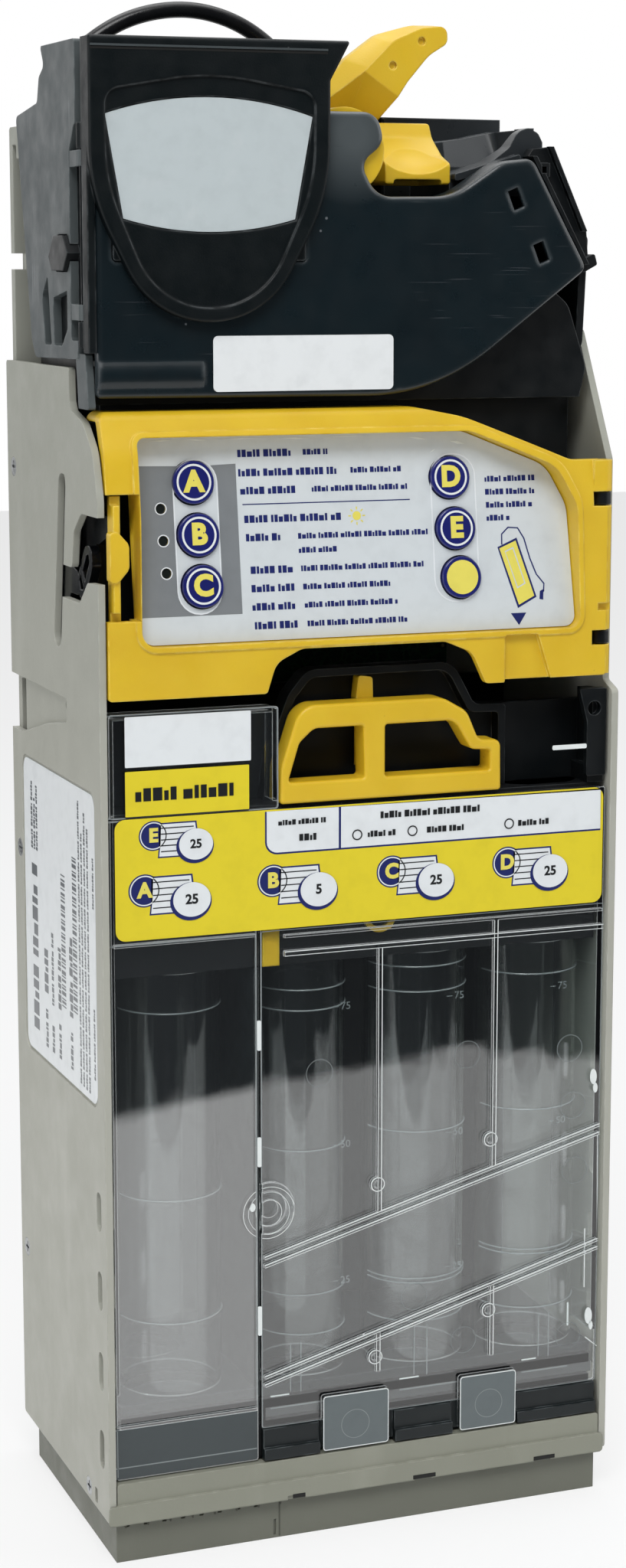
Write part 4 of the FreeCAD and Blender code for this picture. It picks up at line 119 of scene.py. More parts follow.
class Finish:
    """A Principled material built up in layers: mottling, grain, wear, scratches."""

    def __init__(self, name, color, roughness, **constants):
        MATERIALS[name] = bpy.data.materials.new(name)
        MATERIALS[name].use_nodes = True
        self.tree = MATERIALS[name].node_tree
        self.shader = self.tree.nodes["Principled BSDF"]
        self.place = self.node("ShaderNodeTexCoord").outputs["Object"]
        self.color = (*color, 1.0)
        self.normal = None
        self.shader.inputs["Base Color"].default_value = self.color
        self.shader.inputs["Roughness"].default_value = roughness
        for words, value in constants.items():
            self.shader.inputs[words.replace("_", " ").title().replace("Ior", "IOR")].default_value = value

    def node(self, kind, inputs=None, **settings):
        return add_node(self.tree, kind, inputs, **settings)

    def drive(self, name, value):
        """Links an input of the shader."""
        self.tree.links.new(value, self.shader.inputs[name])
        return self

    def noise(self, size, detail, stretch=EVEN):
        """Noise with features `size` metres across, drawn out by `stretch`."""
        sizes = [1.0 / (size * part) for part in stretch]
        scale = self.node("ShaderNodeMapping", {"Scale": sizes, "Vector": self.place}, vector_type="POINT")
        inputs = {"Scale": 1.0, "Detail": detail, "Vector": scale.outputs["Vector"]}
        return self.node("ShaderNodeTexNoise", inputs).outputs["Fac"]

    def cells(self, size, feature="DISTANCE_TO_EDGE"):
        """Cells `size` metres across: the distance to their edges, or with F1 to their middles."""
        inputs = {"Scale": 1.0 / size, "Vector": self.place}
        return self.node("ShaderNodeTexVoronoi", inputs, feature=feature).outputs["Distance"]

    def steps(self, value, low, high, out_low=0.0, out_high=1.0):
        """Maps low..high of a value to out_low..out_high, and holds the ends."""
        inputs = {"From Min": low, "From Max": high, "To Min": out_low, "To Max": out_high, "Value": value}
        return self.node("ShaderNodeMapRange", inputs, clamp=True).outputs["Result"]

    def times(self, value, other, operation="MULTIPLY"):
        """Product of two values, or another operation on them; each is a socket or a number."""
        return self.node("ShaderNodeMath", {0: value, 1: other}, operation=operation).outputs["Value"]

    def axis(self, letter):
        """The place on the object along one axis, in metres."""
        return self.node("ShaderNodeSeparateXYZ", {"Vector": self.place}).outputs[letter]

    def distance(self, place):
        """Distance from a point of the object, in metres."""
        reach = self.node("ShaderNodeVectorMath", {0: self.place, 1: place}, operation="DISTANCE")
        return reach.outputs["Value"]

    def tint(self, mask, color):
        """Lays a second colour over the first where the mask is 1."""
        inputs = {"Factor": mask, "A": self.color, "B": (*color, 1.0)}
        self.color = self.node("ShaderNodeMix", inputs, data_type="RGBA").outputs["Result"]
        return self.drive("Base Color", self.color)

    def patches(self, color, size, detail, span, share, stretch=EVEN):
        """Soft patches of a second colour where the noise rises through `span`, `share` strong at most."""
        return self.tint(self.steps(self.noise(size, detail, stretch), *span, 0.0, share), color)

    def rough(self, value, low, high):
        """Roughness from low to high as the value goes through its middle range."""
        return self.drive("Roughness", self.steps(value, 0.3, 0.7, low, high))

    def bevel(self, radius):
        """Rounds every edge in the shading only."""
        rounded_off = self.node("ShaderNodeBevel", {"Radius": radius}, samples=BEVEL_SAMPLES)
        self.normal = rounded_off.outputs["Normal"]
        return self.drive("Normal", self.normal)

    def bump(self, height, depth):
        """Raises the surface in the shading by up to `depth` metres."""
        inputs = {"Strength": 1.0, "Distance": depth, "Height": height}
        if self.normal:
            inputs["Normal"] = self.normal
        self.normal = self.node("ShaderNodeBump", inputs).outputs["Normal"]
        return self.drive("Normal", self.normal)

    def edges(self, width):
        """A mask that is 1 along the edges of the shape."""
        edge = self.node("ShaderNodeBevel", {"Radius": width}, samples=EDGE_SAMPLES).outputs["Normal"]
        face = self.node("ShaderNodeNewGeometry").outputs["Normal"]
        turn = self.node("ShaderNodeVectorMath", {0: edge, 1: face}, operation="DOT_PRODUCT")
        return self.steps(turn.outputs["Value"], EDGE_FROM, EDGE_TO)

    def worn(self, width, color):
        """Edges rubbed lighter in uneven stretches."""
        uneven = self.steps(self.noise(WEAR_PATCH, 3.0), 0.42, 0.62)
        return self.tint(self.times(self.edges(width), uneven), color)

    def specks(self, size, share, color):
        """Small scattered specks, one in a cell of `size` metres, in about the share of the cells given."""
        spot = self.steps(self.cells(size, "F1"), 0.07, 0.04)
        picked = self.steps(self.noise(size * 3.1, 0.0), 1.0 - share, 1.02 - share)
        return self.tint(self.times(spot, picked), color)

    def scratches(self, length, color, share, stretch):
        """Fine lines drawn out along the axes that `stretch` leaves long."""
        line = self.steps(self.noise(length, 1.0, stretch), 0.68, 0.74)
        place = self.steps(self.noise(length * 1.7, 1.0), 0.62 - share * 0.4, 0.7 - share * 0.4)
        return self.tint(self.times(self.times(line, place), 0.8), color)

    def blend(self, share, first, second):
        """The first shader where the share is 0, and the second where it is 1."""
        return self.node("ShaderNodeMixShader", {"Fac": share, 1: first, 2: second}).outputs["Shader"]

    def surface(self, shader):
        self.tree.links.new(shader, self.tree.nodes["Material Output"].inputs["Surface"])

    def lamps_pass(self):
        """Lets the lamps shine through, so that what is behind the clear moulding stays lit."""
        shadow = self.node("ShaderNodeLightPath").outputs["Is Shadow Ray"]
        open_air = self.node("ShaderNodeBsdfTransparent", {"Color": (0.9, 0.92, 0.92, 1.0)}).outputs["BSDF"]
        self.surface(self.blend(shadow, self.shader.outputs["BSDF"], open_air))


def powder_coat(name, color, dark, light):
    """Powder-coated sheet: orange peel, faint smudges, rubbed edges."""
    finish = Finish(name, srgb(*color), 0.5, Specular_IOR_Level=0.4)
    finish.bevel(0.0004)
    finish.patches(srgb(*dark), 0.030, 4.0, (0.40, 0.75), 0.35)
    finish.patches(srgb(*light), 0.012, 3.0, (0.58, 0.80), 0.3, (1.0, 1.0, 5.0))
    finish.worn(0.0005, srgb(*light))
    finish.rough(finish.noise(0.008, 3.0), 0.42, 0.6)
    finish.bump(finish.noise(0.0008, 1.0), 0.000025)
    return finish


def moulded(name, color, dark, light, gloss, grain=0.000012, edge=0.0004, **constants):
    """Moulded plastic: fine grain, uneven sheen, edges rubbed light."""
    constants.setdefault("Specular_IOR_Level", 0.36)
    finish = Finish(name, srgb(*color), 0.45, **constants)
    finish.bevel(edge)
    finish.patches(srgb(*dark), 0.014, 4.0, (0.38, 0.72), 0.45)
    finish.worn(min(edge * 1.2, 0.0006), srgb(*light))
    finish.rough(finish.noise(0.006, 3.0), *gloss)
    finish.bump(finish.noise(0.0005, 1.0), grain)
    return finish


def clear_moulding(name, color, ior=1.585, waves=0.0001, glow=0.75, coat_ior=1.5):
    """Clear plastic: a smooth, slightly wavy face under a bright skin, and edges painted white as a painted
    highlight of the light they carry.

    Its colour is linear, unlike the others'."""
    finish = Finish(name, color, 0.0, IOR=ior, Specular_IOR_Level=0.95, Coat_Weight=1.0,
                    Coat_Roughness=0.02, Coat_IOR=coat_ior)
    # painted highlight: the edges are painted white and made less see-through
    painted_glint = finish.edges(0.00045)
    finish.tint(painted_glint, srgb(226, 230, 230))
    finish.drive("Transmission Weight", finish.steps(painted_glint, 0.0, 1.0, 1.0, 1.0 - glow))
    finish.bump(finish.noise(0.018, 1.0), waves)
    finish.lamps_pass()


def printed(name, color, rough):
    """Ink or printed card: a nearly even colour with a faint mottling."""
    finish = Finish(name, srgb(*color), rough, Specular_IOR_Level=0.4)
    darker = tuple(part * 0.86 for part in srgb(*color))
    finish.patches(darker, 0.004, 4.0, (0.45, 0.8), 0.5)
    finish.bump(finish.noise(0.0006, 2.0), 0.000004)
    return finish


def brushed(name, color, rough, grain_along=(1.0, 14.0, 1.0)):
    """Metal with a fine grain drawn out along one axis."""
    finish = Finish(name, srgb(*color), rough, Metallic=1.0)
    finish.bevel(0.0002)
    lighter = tuple(min(1.0, part * 1.25) for part in srgb(*color))
    finish.patches(lighter, 0.0006, 2.0, (0.4, 0.7), 0.5, grain_along)
    finish.rough(finish.noise(0.002, 3.0), rough - 0.1, rough + 0.12)
    finish.bump(finish.noise(0.0003, 1.0, grain_along), 0.000008)
    return finish


def zinc_plate():
    """Zinc plating with the faint spangle of its crystals."""
    finish = brushed("zinc_plate", (176, 178, 178), 0.38)
    finish.tint(finish.steps(finish.cells(0.0018, "F1"), 0.2, 0.6, 0.0, 0.35), srgb(140, 144, 148))


def board_green():
    """Solder mask with traces and pads showing through."""
    finish = Finish("board_green", srgb(18, 70, 44), 0.32, Coat_Weight=0.3)
    finish.tint(finish.steps(finish.cells(0.0035), 0.06, 0.03, 0.0, 0.55), srgb(40, 112, 66))
    finish.tint(finish.steps(finish.cells(0.0052, "F1"), 0.14, 0.11, 0.0, 0.9), srgb(196, 178, 120))
    finish.rough(finish.noise(0.003, 2.0), 0.25, 0.42)
    finish.bump(finish.cells(0.0035), 0.00004)


def yellow_moulding():
    """Yellow plastic with a little light under its skin, and darker specks."""
    finish = moulded("yellow_moulding", (216, 180, 38), (200, 160, 24), (240, 214, 100),
                     (0.34, 0.48), 0.00002, 0.0007, Subsurface_Weight=0.06, Subsurface_Scale=0.002,
                     Coat_Weight=0.12, Coat_Roughness=0.3)
    finish.specks(0.004, 0.32, srgb(170, 134, 40))


LID_SHEEN_MIDDLE = (-0.002, -0.034, 0.352)  # painted sheen: the lid is painted grey round this place, where its surface rounds back towards the light


def lid_black():
    """Glossy black with fine scratches, and a painted sheen on its shoulders and round the place where the
    lever sits.
    """
    finish = moulded("lid_black", (16, 28, 33), (10, 19, 24), (70, 76, 78), (0.26, 0.36),
                     0.000008, 0.0018, Coat_Weight=0.35, Coat_Roughness=0.2)
    # painted sheen round the lever and, in a wider band, along the lid's edges
    finish.tint(finish.steps(finish.distance(LID_SHEEN_MIDDLE), 0.017, 0.003, 0.0, 0.75), srgb(84, 90, 92))
    finish.tint(finish.steps(finish.edges(0.0022), 0.0, 1.0, 0.0, 0.6), srgb(70, 78, 82))
    finish.specks(0.006, 0.36, srgb(96, 100, 104))
    finish.scratches(0.016, srgb(58, 62, 66), 0.25, (1.0, 1.0, 0.03))


def head_black():
    """Duller, rougher black than the lid's, with specks."""
    finish = moulded("head_black", (6, 15, 18), (4, 10, 13), (70, 75, 77), (0.40, 0.54),
                     0.00003, 0.0010, Specular_IOR_Level=0.26)
    finish.specks(0.004, 0.34, srgb(80, 82, 84))


def cover_grey():
    """Dark grey plastic that was scratched in handling."""
    finish = moulded("cover_grey", (77, 83, 84), (60, 66, 68), (122, 128, 129), (0.4, 0.56),
                     0.00002, 0.0004)
    finish.scratches(0.022, srgb(126, 130, 132), 0.35, (1.0, 0.04, 1.0))
    finish.specks(0.005, 0.34, srgb(140, 142, 142))


def wall_paint():
    """Painted shade: the walls darken towards their heads, where less light falls on them."""
    finish = powder_coat("wall_paint", (168, 168, 158), (154, 154, 144), (190, 190, 182))
    # painted shade, darker above 0.18 m
    finish.tint(finish.steps(finish.axis("Z"), 0.18, 0.33, 0.0, 0.55), srgb(128, 131, 122))


def base_paint():
    """The base's coat, with painted shade below its lip at 11 mm."""
    finish = powder_coat("base_paint", (140, 141, 128), (126, 127, 115), (164, 164, 152))
    finish.tint(finish.steps(finish.axis("Z"), 0.0112, 0.0106, 0.0, 0.65), srgb(84, 86, 77))


def label_film():
    """Grey polyester film under a glossy, slightly wavy skin."""
    finish = printed("label_film", (205, 211, 214), 0.28)
    finish.shader.inputs["Coat Weight"].default_value = 0.6
    finish.shader.inputs["Coat Roughness"].default_value = 0.06
    finish.bump(finish.noise(0.010, 3.0, (3.0, 1.0, 1.0)), 0.00012)


def card_white(name, color):
    """White card with faint grey patches."""
    finish = printed(name, color, 0.42)
    finish.patches(srgb(196, 200, 202), 0.006, 4.0, (0.58, 0.80), 0.35)


# Colour, its dark patches, its rubbed edges, and the lowest and highest roughness
MOULDINGS = {
    "black_moulding": ((10, 15, 18), (7, 10, 12), (60, 66, 68), (0.36, 0.52)),
    "cup_grey": ((46, 50, 53), (34, 37, 40), (104, 108, 110), (0.26, 0.4)),
    "gloss_black": ((10, 12, 14), (7, 8, 10), (60, 62, 64), (0.14, 0.24)),
    "deep_black": ((9, 12, 15), (6, 8, 10), (46, 50, 52), (0.45, 0.6)),
    "foot_black": ((20, 27, 29), (14, 19, 21), (90, 96, 98), (0.36, 0.5)),
    "white_acetal": ((222, 220, 210), (204, 201, 188), (240, 239, 232), (0.3, 0.42)),
    "grey_acetal": ((58, 63, 65), (46, 50, 52), (110, 114, 116), (0.34, 0.46)),
    "lamp_lens": ((30, 34, 32), (22, 25, 24), (70, 74, 72), (0.1, 0.2)),
    "cable_jacket": ((18, 19, 21), (12, 13, 15), (50, 52, 54), (0.2, 0.32)),
}
# Colour and roughness
INKS = {
    "card_stock": ((40, 42, 44), 0.5), "ink_navy": ((32, 40, 100), 0.3), "ink_black": ((30, 32, 34), 0.35),
    "ink_white": ((222, 226, 228), 0.3), "ink_yellow": ((224, 212, 96), 0.3),
    "ink_card": ((222, 203, 40), 0.32),
    "ink_grey": ((122, 126, 129), 0.3), "ink_pale": ((222, 226, 229), 0.28),
    "ink_dim": ((92, 96, 100), 0.3),
    # Painted highlights: bright and dim lines where the edges and marks of the clear mouldings catch the
    # light
    "painted_glint": ((226, 231, 230), 0.16), "painted_dim_glint": ((128, 135, 136), 0.2),
    # Painted shade and a painted highlight: shadows under the plinth's lip, the lit edge of the head's
    # ledge, and the shade in slots and under that ledge
    "base_shadow": ((78, 79, 70), 0.6), "painted_ledge_highlight": ((62, 68, 70), 0.4), "painted_gap_shade": ((16, 17, 16), 0.6),
    "smoky_tab": ((96, 104, 106), 0.1), "smoky_skirt": ((62, 69, 71), 0.12),
}
NODE_FINISH = {
    "wall_paint": ["back_panel", "left_wall", "right_wall"],
    "base_paint": ["base_plinth"],
    "yellow_moulding": ["door_frame", "door_latch", "reject_lever", "cassette_handle", "cassette_latch"],
    "black_moulding": ["acceptor_body", "separator_housing", "cassette_bracket", "cassette_arch",
                       "cable_glands", "rear_inlet", "flight_deck"],
    "lid_black": ["lid_shell"],
    "head_black": ["badge_bezel"],
    "cover_grey": ["acceptor_side_cover"],
    "cup_grey": ["coin_entry_cup"],
    "gloss_black": ["side_lever"],
    "deep_black": ["cassette_deck", "cassette_shell", "dispenser_frame"],
    "foot_black": ["cassette_base"],
    "white_acetal": ["accept_gate", "cam_gear", "camshaft"],
    "grey_acetal": ["payout_slide_ae", "payout_slide_b", "payout_slide_c", "payout_slide_d"],
    "clear_cover": ["cassette_front_cover", "label_pocket"],
    "clear_window": ["cassette_window_left"],
    "clear_tube": ["quarter_tubes", "nickel_tube"],
    "zinc_plate": ["chassis_screws", "lever_pins", "lever_spring"],
    "black_steel": ["hinge_pins"],
    "turned_brass": ["motor_pinion"],
    "plated_can": ["dispenser_motor", "gate_solenoid"],
    "board_green": ["acceptor_board", "keypad_board", "main_board"],
    "label_film": ["keypad_overlay"],
    "badge_face": ["badge_plate"],
    "paper_white": ["lid_sticker", "rating_label"],
    "card_stock": ["cassette_cards"],
    "lamp_lens": ["status_leds"],
    "button_navy": ["button_a", "button_b", "button_c", "button_d", "button_e", "button_menu"],
    "cable_jacket": ["harness_cable"],
}


def make_materials():
    for finish in (wall_paint, base_paint, yellow_moulding, lid_black, head_black, cover_grey, zinc_plate,
                   board_green, label_film):
        finish()
    for name, looks in MOULDINGS.items():
        moulded(name, *looks)
    for name, looks in INKS.items():
        printed(name, *looks)
    moulded("button_navy", (28, 34, 104), (20, 24, 84), (70, 78, 150), (0.2, 0.3), 0.000006, 0.0004,
            Coat_Weight=0.5, Coat_Roughness=0.12)
    clear_moulding("clear_cover", (0.86, 0.89, 0.89))
    clear_moulding("clear_window", (0.86, 0.89, 0.89), coat_ior=2.0)
    clear_moulding("clear_tube", (0.93, 0.95, 0.95), 1.49, 0.0002, 0.6)
    brushed("black_steel", (24, 27, 29), 0.4)
    brushed("turned_brass", (206, 172, 96), 0.3)
    brushed("plated_can", (168, 170, 174), 0.34, (14.0, 1.0, 1.0))
    card_white("badge_face", (181, 190, 192))
    card_white("paper_white", (222, 225, 226))


def dress_nodes():
    """Gives every node of the CAD its finish."""
    for finish, names in NODE_FINISH.items():
        for name in names:
            part = nodes[name]
            if not part.material_slots:
                part.data.materials.append(MATERIALS[finish])
            for slot in part.material_slots:
                slot.material = MATERIALS[finish]


# -------------------------------------------------------------- thin printing
# Drawings are in millimetres, in one of the planes below.
LABEL_FOOT = (0.0, -38.6, 231.5)  # foot of the keypad label's plane
LABEL_TILT = math.radians(7.595)
FILM_DEPTH = 0.5  # the film lies this far behind that plane
BUTTON_PROUD = 0.7  # and the buttons stand this far in front
CARD_FRONT = -38.35  # y of the cards' face
INK = 0.04  # thickness of the printing
CORNER_STEPS = 6  # sides of a rounded corner
CAP_HEIGHT = 0.69  # height of a capital, as a share of the font's size
STROKE = 0.3  # how far a letter of weight 1 is fattened, as a share of its height
# Greeked words: the places in a row, the one that is a space, and sizes as shares of the line's height
PLACES, SPACE_PLACE = 7, 6
SPACE, GAP, NARROW, WIDER, LOW, LAST = 0.38, 0.16, 0.34, 0.13, 0.74, 0.3


def upright(y):
    """Drawing plane facing the front: u is x and v is z."""
    return Matrix(((MM, 0, 0, 0), (0, 0, -MM, y * MM), (0, MM, 0, 0), (0, 0, 0, 1)))


def on_label(depth):
    """Drawing plane along the tilted label, with v measured as height z."""
    sine, cosine = math.sin(LABEL_TILT), math.cos(LABEL_TILT)
    turn = Matrix(((1, 0, 0, 0), (0, sine, -cosine, 0), (0, cosine, sine, 0), (0, 0, 0, 1)))
    slide = Matrix.Translation(Vector((0, 0, -depth)))
    size = Matrix.Diagonal(Vector((1, 1 / cosine, 1, 1)))
    foot = Matrix.Translation(Vector((0, -LABEL_FOOT[2], 0)))
    return Matrix.Translation(mm(*LABEL_FOOT)) @ turn @ Matrix.Scale(MM, 4) @ slide @ (size @ foot)


def reading_up(x):
    """Drawing plane facing left, for lines that read upwards: u is z and v is y."""
    return Matrix(((0, 0, -MM, x * MM), (0, MM, 0, 0), (MM, 0, 0, 0), (0, 0, 0, 1)))


def circle(u, v, radius, squeeze=1.0, count=40):
    """Points round a circle, or round an ellipse where `squeeze` isn't 1."""
    points = []
    for index in range(count):
        angle = 2 * math.pi * index / count
        points.append((u + radius * squeeze * math.cos(angle), v + radius * math.sin(angle)))
    return points


def rounded(u0, u1, v0, v1, radius=0.0, lower_left=None):
    """Rectangle with rounded corners; lower_left gives that corner its own radius."""
    corners = [(u1, v1, 0, radius), (u0, v1, 90, radius),
               (u0, v0, 180, radius if lower_left is None else lower_left), (u1, v0, 270, radius)]
    points = []
    for u, v, start, size in corners:
        if size <= 0:
            points.append((u, v))
            continue
        centre_u = u - math.copysign(size, u - (u0 + u1) / 2)
        centre_v = v - math.copysign(size, v - (v0 + v1) / 2)
        for index in range(CORNER_STEPS + 1):
            angle = math.radians(start + 90 * index / CORNER_STEPS)
            points.append((centre_u + size * math.cos(angle), centre_v + size * math.sin(angle)))
    return points


def band(points, width):
    """Outline of a line of even width through the points."""
    left, right = [], []
    for index, point in enumerate(points):
        before = Vector(points[max(index - 1, 0)])
        after = Vector(points[min(index + 1, len(points) - 1)])
        along = (after - before).normalized()
        side = Vector((-along.y, along.x)) * width / 2
        left.append(tuple(Vector(point) + side))
        right.append(tuple(Vector(point) - side))
    return left + right[::-1]


class Print:
    """Printing of one colour in one plane, gathered in one thin solid."""

    def __init__(self, name, finish, plane, lift=0.0, thick=INK):
        self.name = name
        self.finish = finish
        self.plane = plane @ Matrix.Translation(Vector((0, 0, lift + thick / 2)))
        self.thick = thick
        self.mesh = bmesh.new()

    def _take(self, curve, plane):
        """Adds the solid of a flat curve that is drawn in the plane."""
        curve.extrude = self.thick / 2
        holder = add_object("stencil", curve)
        bpy.context.view_layer.update()
        flat = bpy.data.meshes.new_from_object(holder)
        flat.transform(plane)
        self.mesh.from_mesh(flat)
        bpy.data.objects.remove(holder)
        bpy.data.curves.remove(curve)
        bpy.data.meshes.remove(flat)
        return self

    def shape(self, *outlines):
        """A filled outline; the outlines after the first are holes in it."""
        curve = bpy.data.curves.new("stencil", "CURVE")
        curve.dimensions = "2D"
        curve.fill_mode = "BOTH"
        for outline in outlines:
            spline = curve.splines.new("POLY")
            spline.points.add(len(outline) - 1)
            for point, (u, v) in zip(spline.points, outline):
                point.co = (u, v, 0, 1)
            spline.use_cyclic_u = True
        return self._take(curve, self.plane)

    def line(self, points, width):
        return self.shape(band(points, width))

    def ring(self, u, v, outer, inner):
        """Ring between two radii."""
        return self.shape(circle(u, v, outer), circle(u, v, inner))

    def oval(self, u, v, radius, squeeze=1.0):
        return self.shape(circle(u, v, radius, squeeze))

    def field(self, u0, u1, v0, v1, radius=0.0, lower_left=None):
        return self.shape(rounded(u0, u1, v0, v1, radius, lower_left))

    def border(self, u0, u1, v0, v1, width, radius=0.6):
        """Even border of a rounded rectangle, inside its outline."""
        inner = rounded(u0 + width, u1 - width, v0 + width, v1 - width, max(radius - width, 0.1))
        return self.shape(rounded(u0, u1, v0, v1, radius), inner)

    def letter(self, text, u, v, height, weight):
        """Characters with their middle at u, v; the weight fattens them."""
        curve = bpy.data.curves.new("stencil", "FONT")
        curve.body = text
        curve.align_x = "CENTER"
        curve.align_y = "CENTER"
        curve.size = height / CAP_HEIGHT
        curve.offset = weight * height * STROKE
        curve.resolution_u = 4
        return self._take(curve, self.plane @ Matrix.Translation(Vector((u, v, 0))))

    def words(self, u0, u1, v, height, seed):
        """A line of greeked text: small blocks in word-like groups, none a letter."""
        u = u0
        count = seed * PLACES
        while u < u1 - LAST * height:
            count += 1
            if count % PLACES == SPACE_PLACE:
                u += height * SPACE
                continue
            width = height * (NARROW + WIDER * ((count * 5) % 4))
            tall = height * (1.0 if count % 3 else LOW)
            end = min(u + width, u1)
            self.shape(rounded(u, end, v - height / 2, v - height / 2 + tall))
            u = end + height * GAP

    def done(self, body, slot):
        """Makes the piece, which rides the body; the slot is not used."""
        bmesh.ops.remove_doubles(self.mesh, verts=self.mesh.verts, dist=1e-7)
        piece = add_solid(self.name, self.mesh, MATERIALS[self.finish])
        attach(piece, body)


# ---------------------------------------------------------------- keypad label
BUTTONS = {
    "a": (-42.7, 270.0), "b": (-42.0, 257.5), "c": (-41.5, 245.3), "d": (24.0, 269.5), "e": (25.0, 257.0),
}
BUTTON_RING = (4.35, 3.85)  # outer and inner radius
BUTTON_LETTER = (4.7, 0.26)  # height and weight
MENU = (26.0, 245.0)
MENU_DISC = 4.2
PANEL = (-57.3, -31.6, 238.4, 274.2)  # grey field round the lamps: left, right, foot, head
STRIPS = ((-47.8, -36.4, 238.6, 275.6), (18.9, 31.1, 239.0, 275.4))
STRIP_ROUND = 5.6
STRIP_EDGE = 0.35
LAMPS = [(-51.0, 264.0), (-50.7, 256.4), (-50.3, 248.7)]
LAMP_HOLE = 1.3
LAMP_RIM = (1.5, 1.25)  # outer and inner radius
# Height, then the start and end of the dark words and of the light words on each line
TEXT_LINES = [
    (276.6, (-31.0, -17.0), (-14.2, -7.8)),
    (272.0, (-31.0, -5.7), (-2.0, 11.5)),
    (267.7, (-30.7, -16.0), (-12.3, 13.3)),
    (260.9, (-30.0, -4.7), None),
    (256.5, (-29.8, -21.0), (-16.4, 17.7)),
    (253.1, None, (-16.4, -6.5)),
    (248.7, (-29.0, -18.0), (-16.0, 16.4)),
    (244.3, (-29.0, -18.0), (-15.7, 7.7)),
    (239.9, (-29.0, -18.0), (-15.5, 9.1)),
    (235.4, (-28.6, -17.6), (-15.0, 11.2)),
]
SIDE_LINES = [(268.9, 33.6, 47.7), (265.7, 33.6, 47.4), (262.5, 33.7, 46.5), (259.3, 33.7, 39.9)]
DARK_HEIGHT, LIGHT_HEIGHT, SIDE_HEIGHT = 1.75, 1.35, 1.4
RULE = (-30.3, 13.3, 264.3, 264.55)
MARKER = [(39.2, 235.6), (43.4, 235.6), (41.3, 232.6)]
# The pictogram: a tilted cassette with its two stripes, and an arrow that bends over it
CASSETTE_OUTLINE = [(36.3, 252.0), (41.6, 254.2), (46.4, 239.4), (41.2, 236.8)]
CASSETTE_INSIDE = [(36.8, 251.7), (41.3, 253.5), (45.8, 239.7), (41.5, 237.6)]
CASSETTE_BORDER = [(38.2, 251.0), (40.6, 252.0), (43.6, 242.8), (41.2, 241.6)]
CASSETTE_STRIPE = [(38.5, 250.7), (40.4, 251.5), (43.2, 243.0), (41.4, 242.1)]
ARROW = [(37.5, 252.6), (37.6, 255.2), (39.4, 256.8), (42.0, 256.6), (43.6, 254.0), (45.0, 249.0),
         (46.6, 245.0), (48.6, 242.6), (48.4, 240.6)]
ARROW_WIDTH = 0.34
ARROW_HEAD = [(47.4, 240.8), (48.4, 241.2), (48.2, 238.6), (47.2, 238.8)]
# The sign of a lit lamp: middle, radius, then its rays
SIGN = (-0.9, 260.9)
SIGN_ROUND = 1.1
RAYS, RAY_REACH, RAY_WIDTH = 8, (1.5, 2.2), 0.3
# Painted highlights on the creases of the film where it meets the frame: start, end and width of each
CREASES = [
    ((-53.0, 279.9), (-47.0, 280.1), 0.3), ((-44.0, 280.2), (-38.5, 279.9), 0.45),
    ((-36.0, 280.0), (-24.0, 280.2), 0.25), ((-20.0, 280.1), (-12.0, 279.7), 0.4),
    ((-8.0, 280.0), (3.0, 280.2), 0.22), ((13.5, 279.6), (18.5, 278.9), 0.5),
    ((24.6, 278.4), (28.6, 277.6), 0.7), ((19.0, 275.6), (20.8, 276.6), 0.35),
    ((-56.4, 279.0), (-57.0, 272.0), 0.25),
]


def print_buttons():
    """Rings and letters on the push buttons, and the yellow face of the menu button."""
    face = on_label(-BUTTON_PROUD)
    for name, (u, v) in BUTTONS.items():
        ring = Print(f"button_ring_{name}", "ink_white", face)
        ring.ring(u, v, *BUTTON_RING).done(f"key_{name}", "pale_badge")
        letter = Print(f"button_letter_{name}", "ink_yellow", face)
        letter.letter(name.upper(), u, v, *BUTTON_LETTER).done(f"key_{name}", "yellow_plastic")
    disc = Print("button_disc_menu", "ink_yellow", face)
    disc.oval(*MENU, MENU_DISC).done("key_menu", "yellow_plastic")


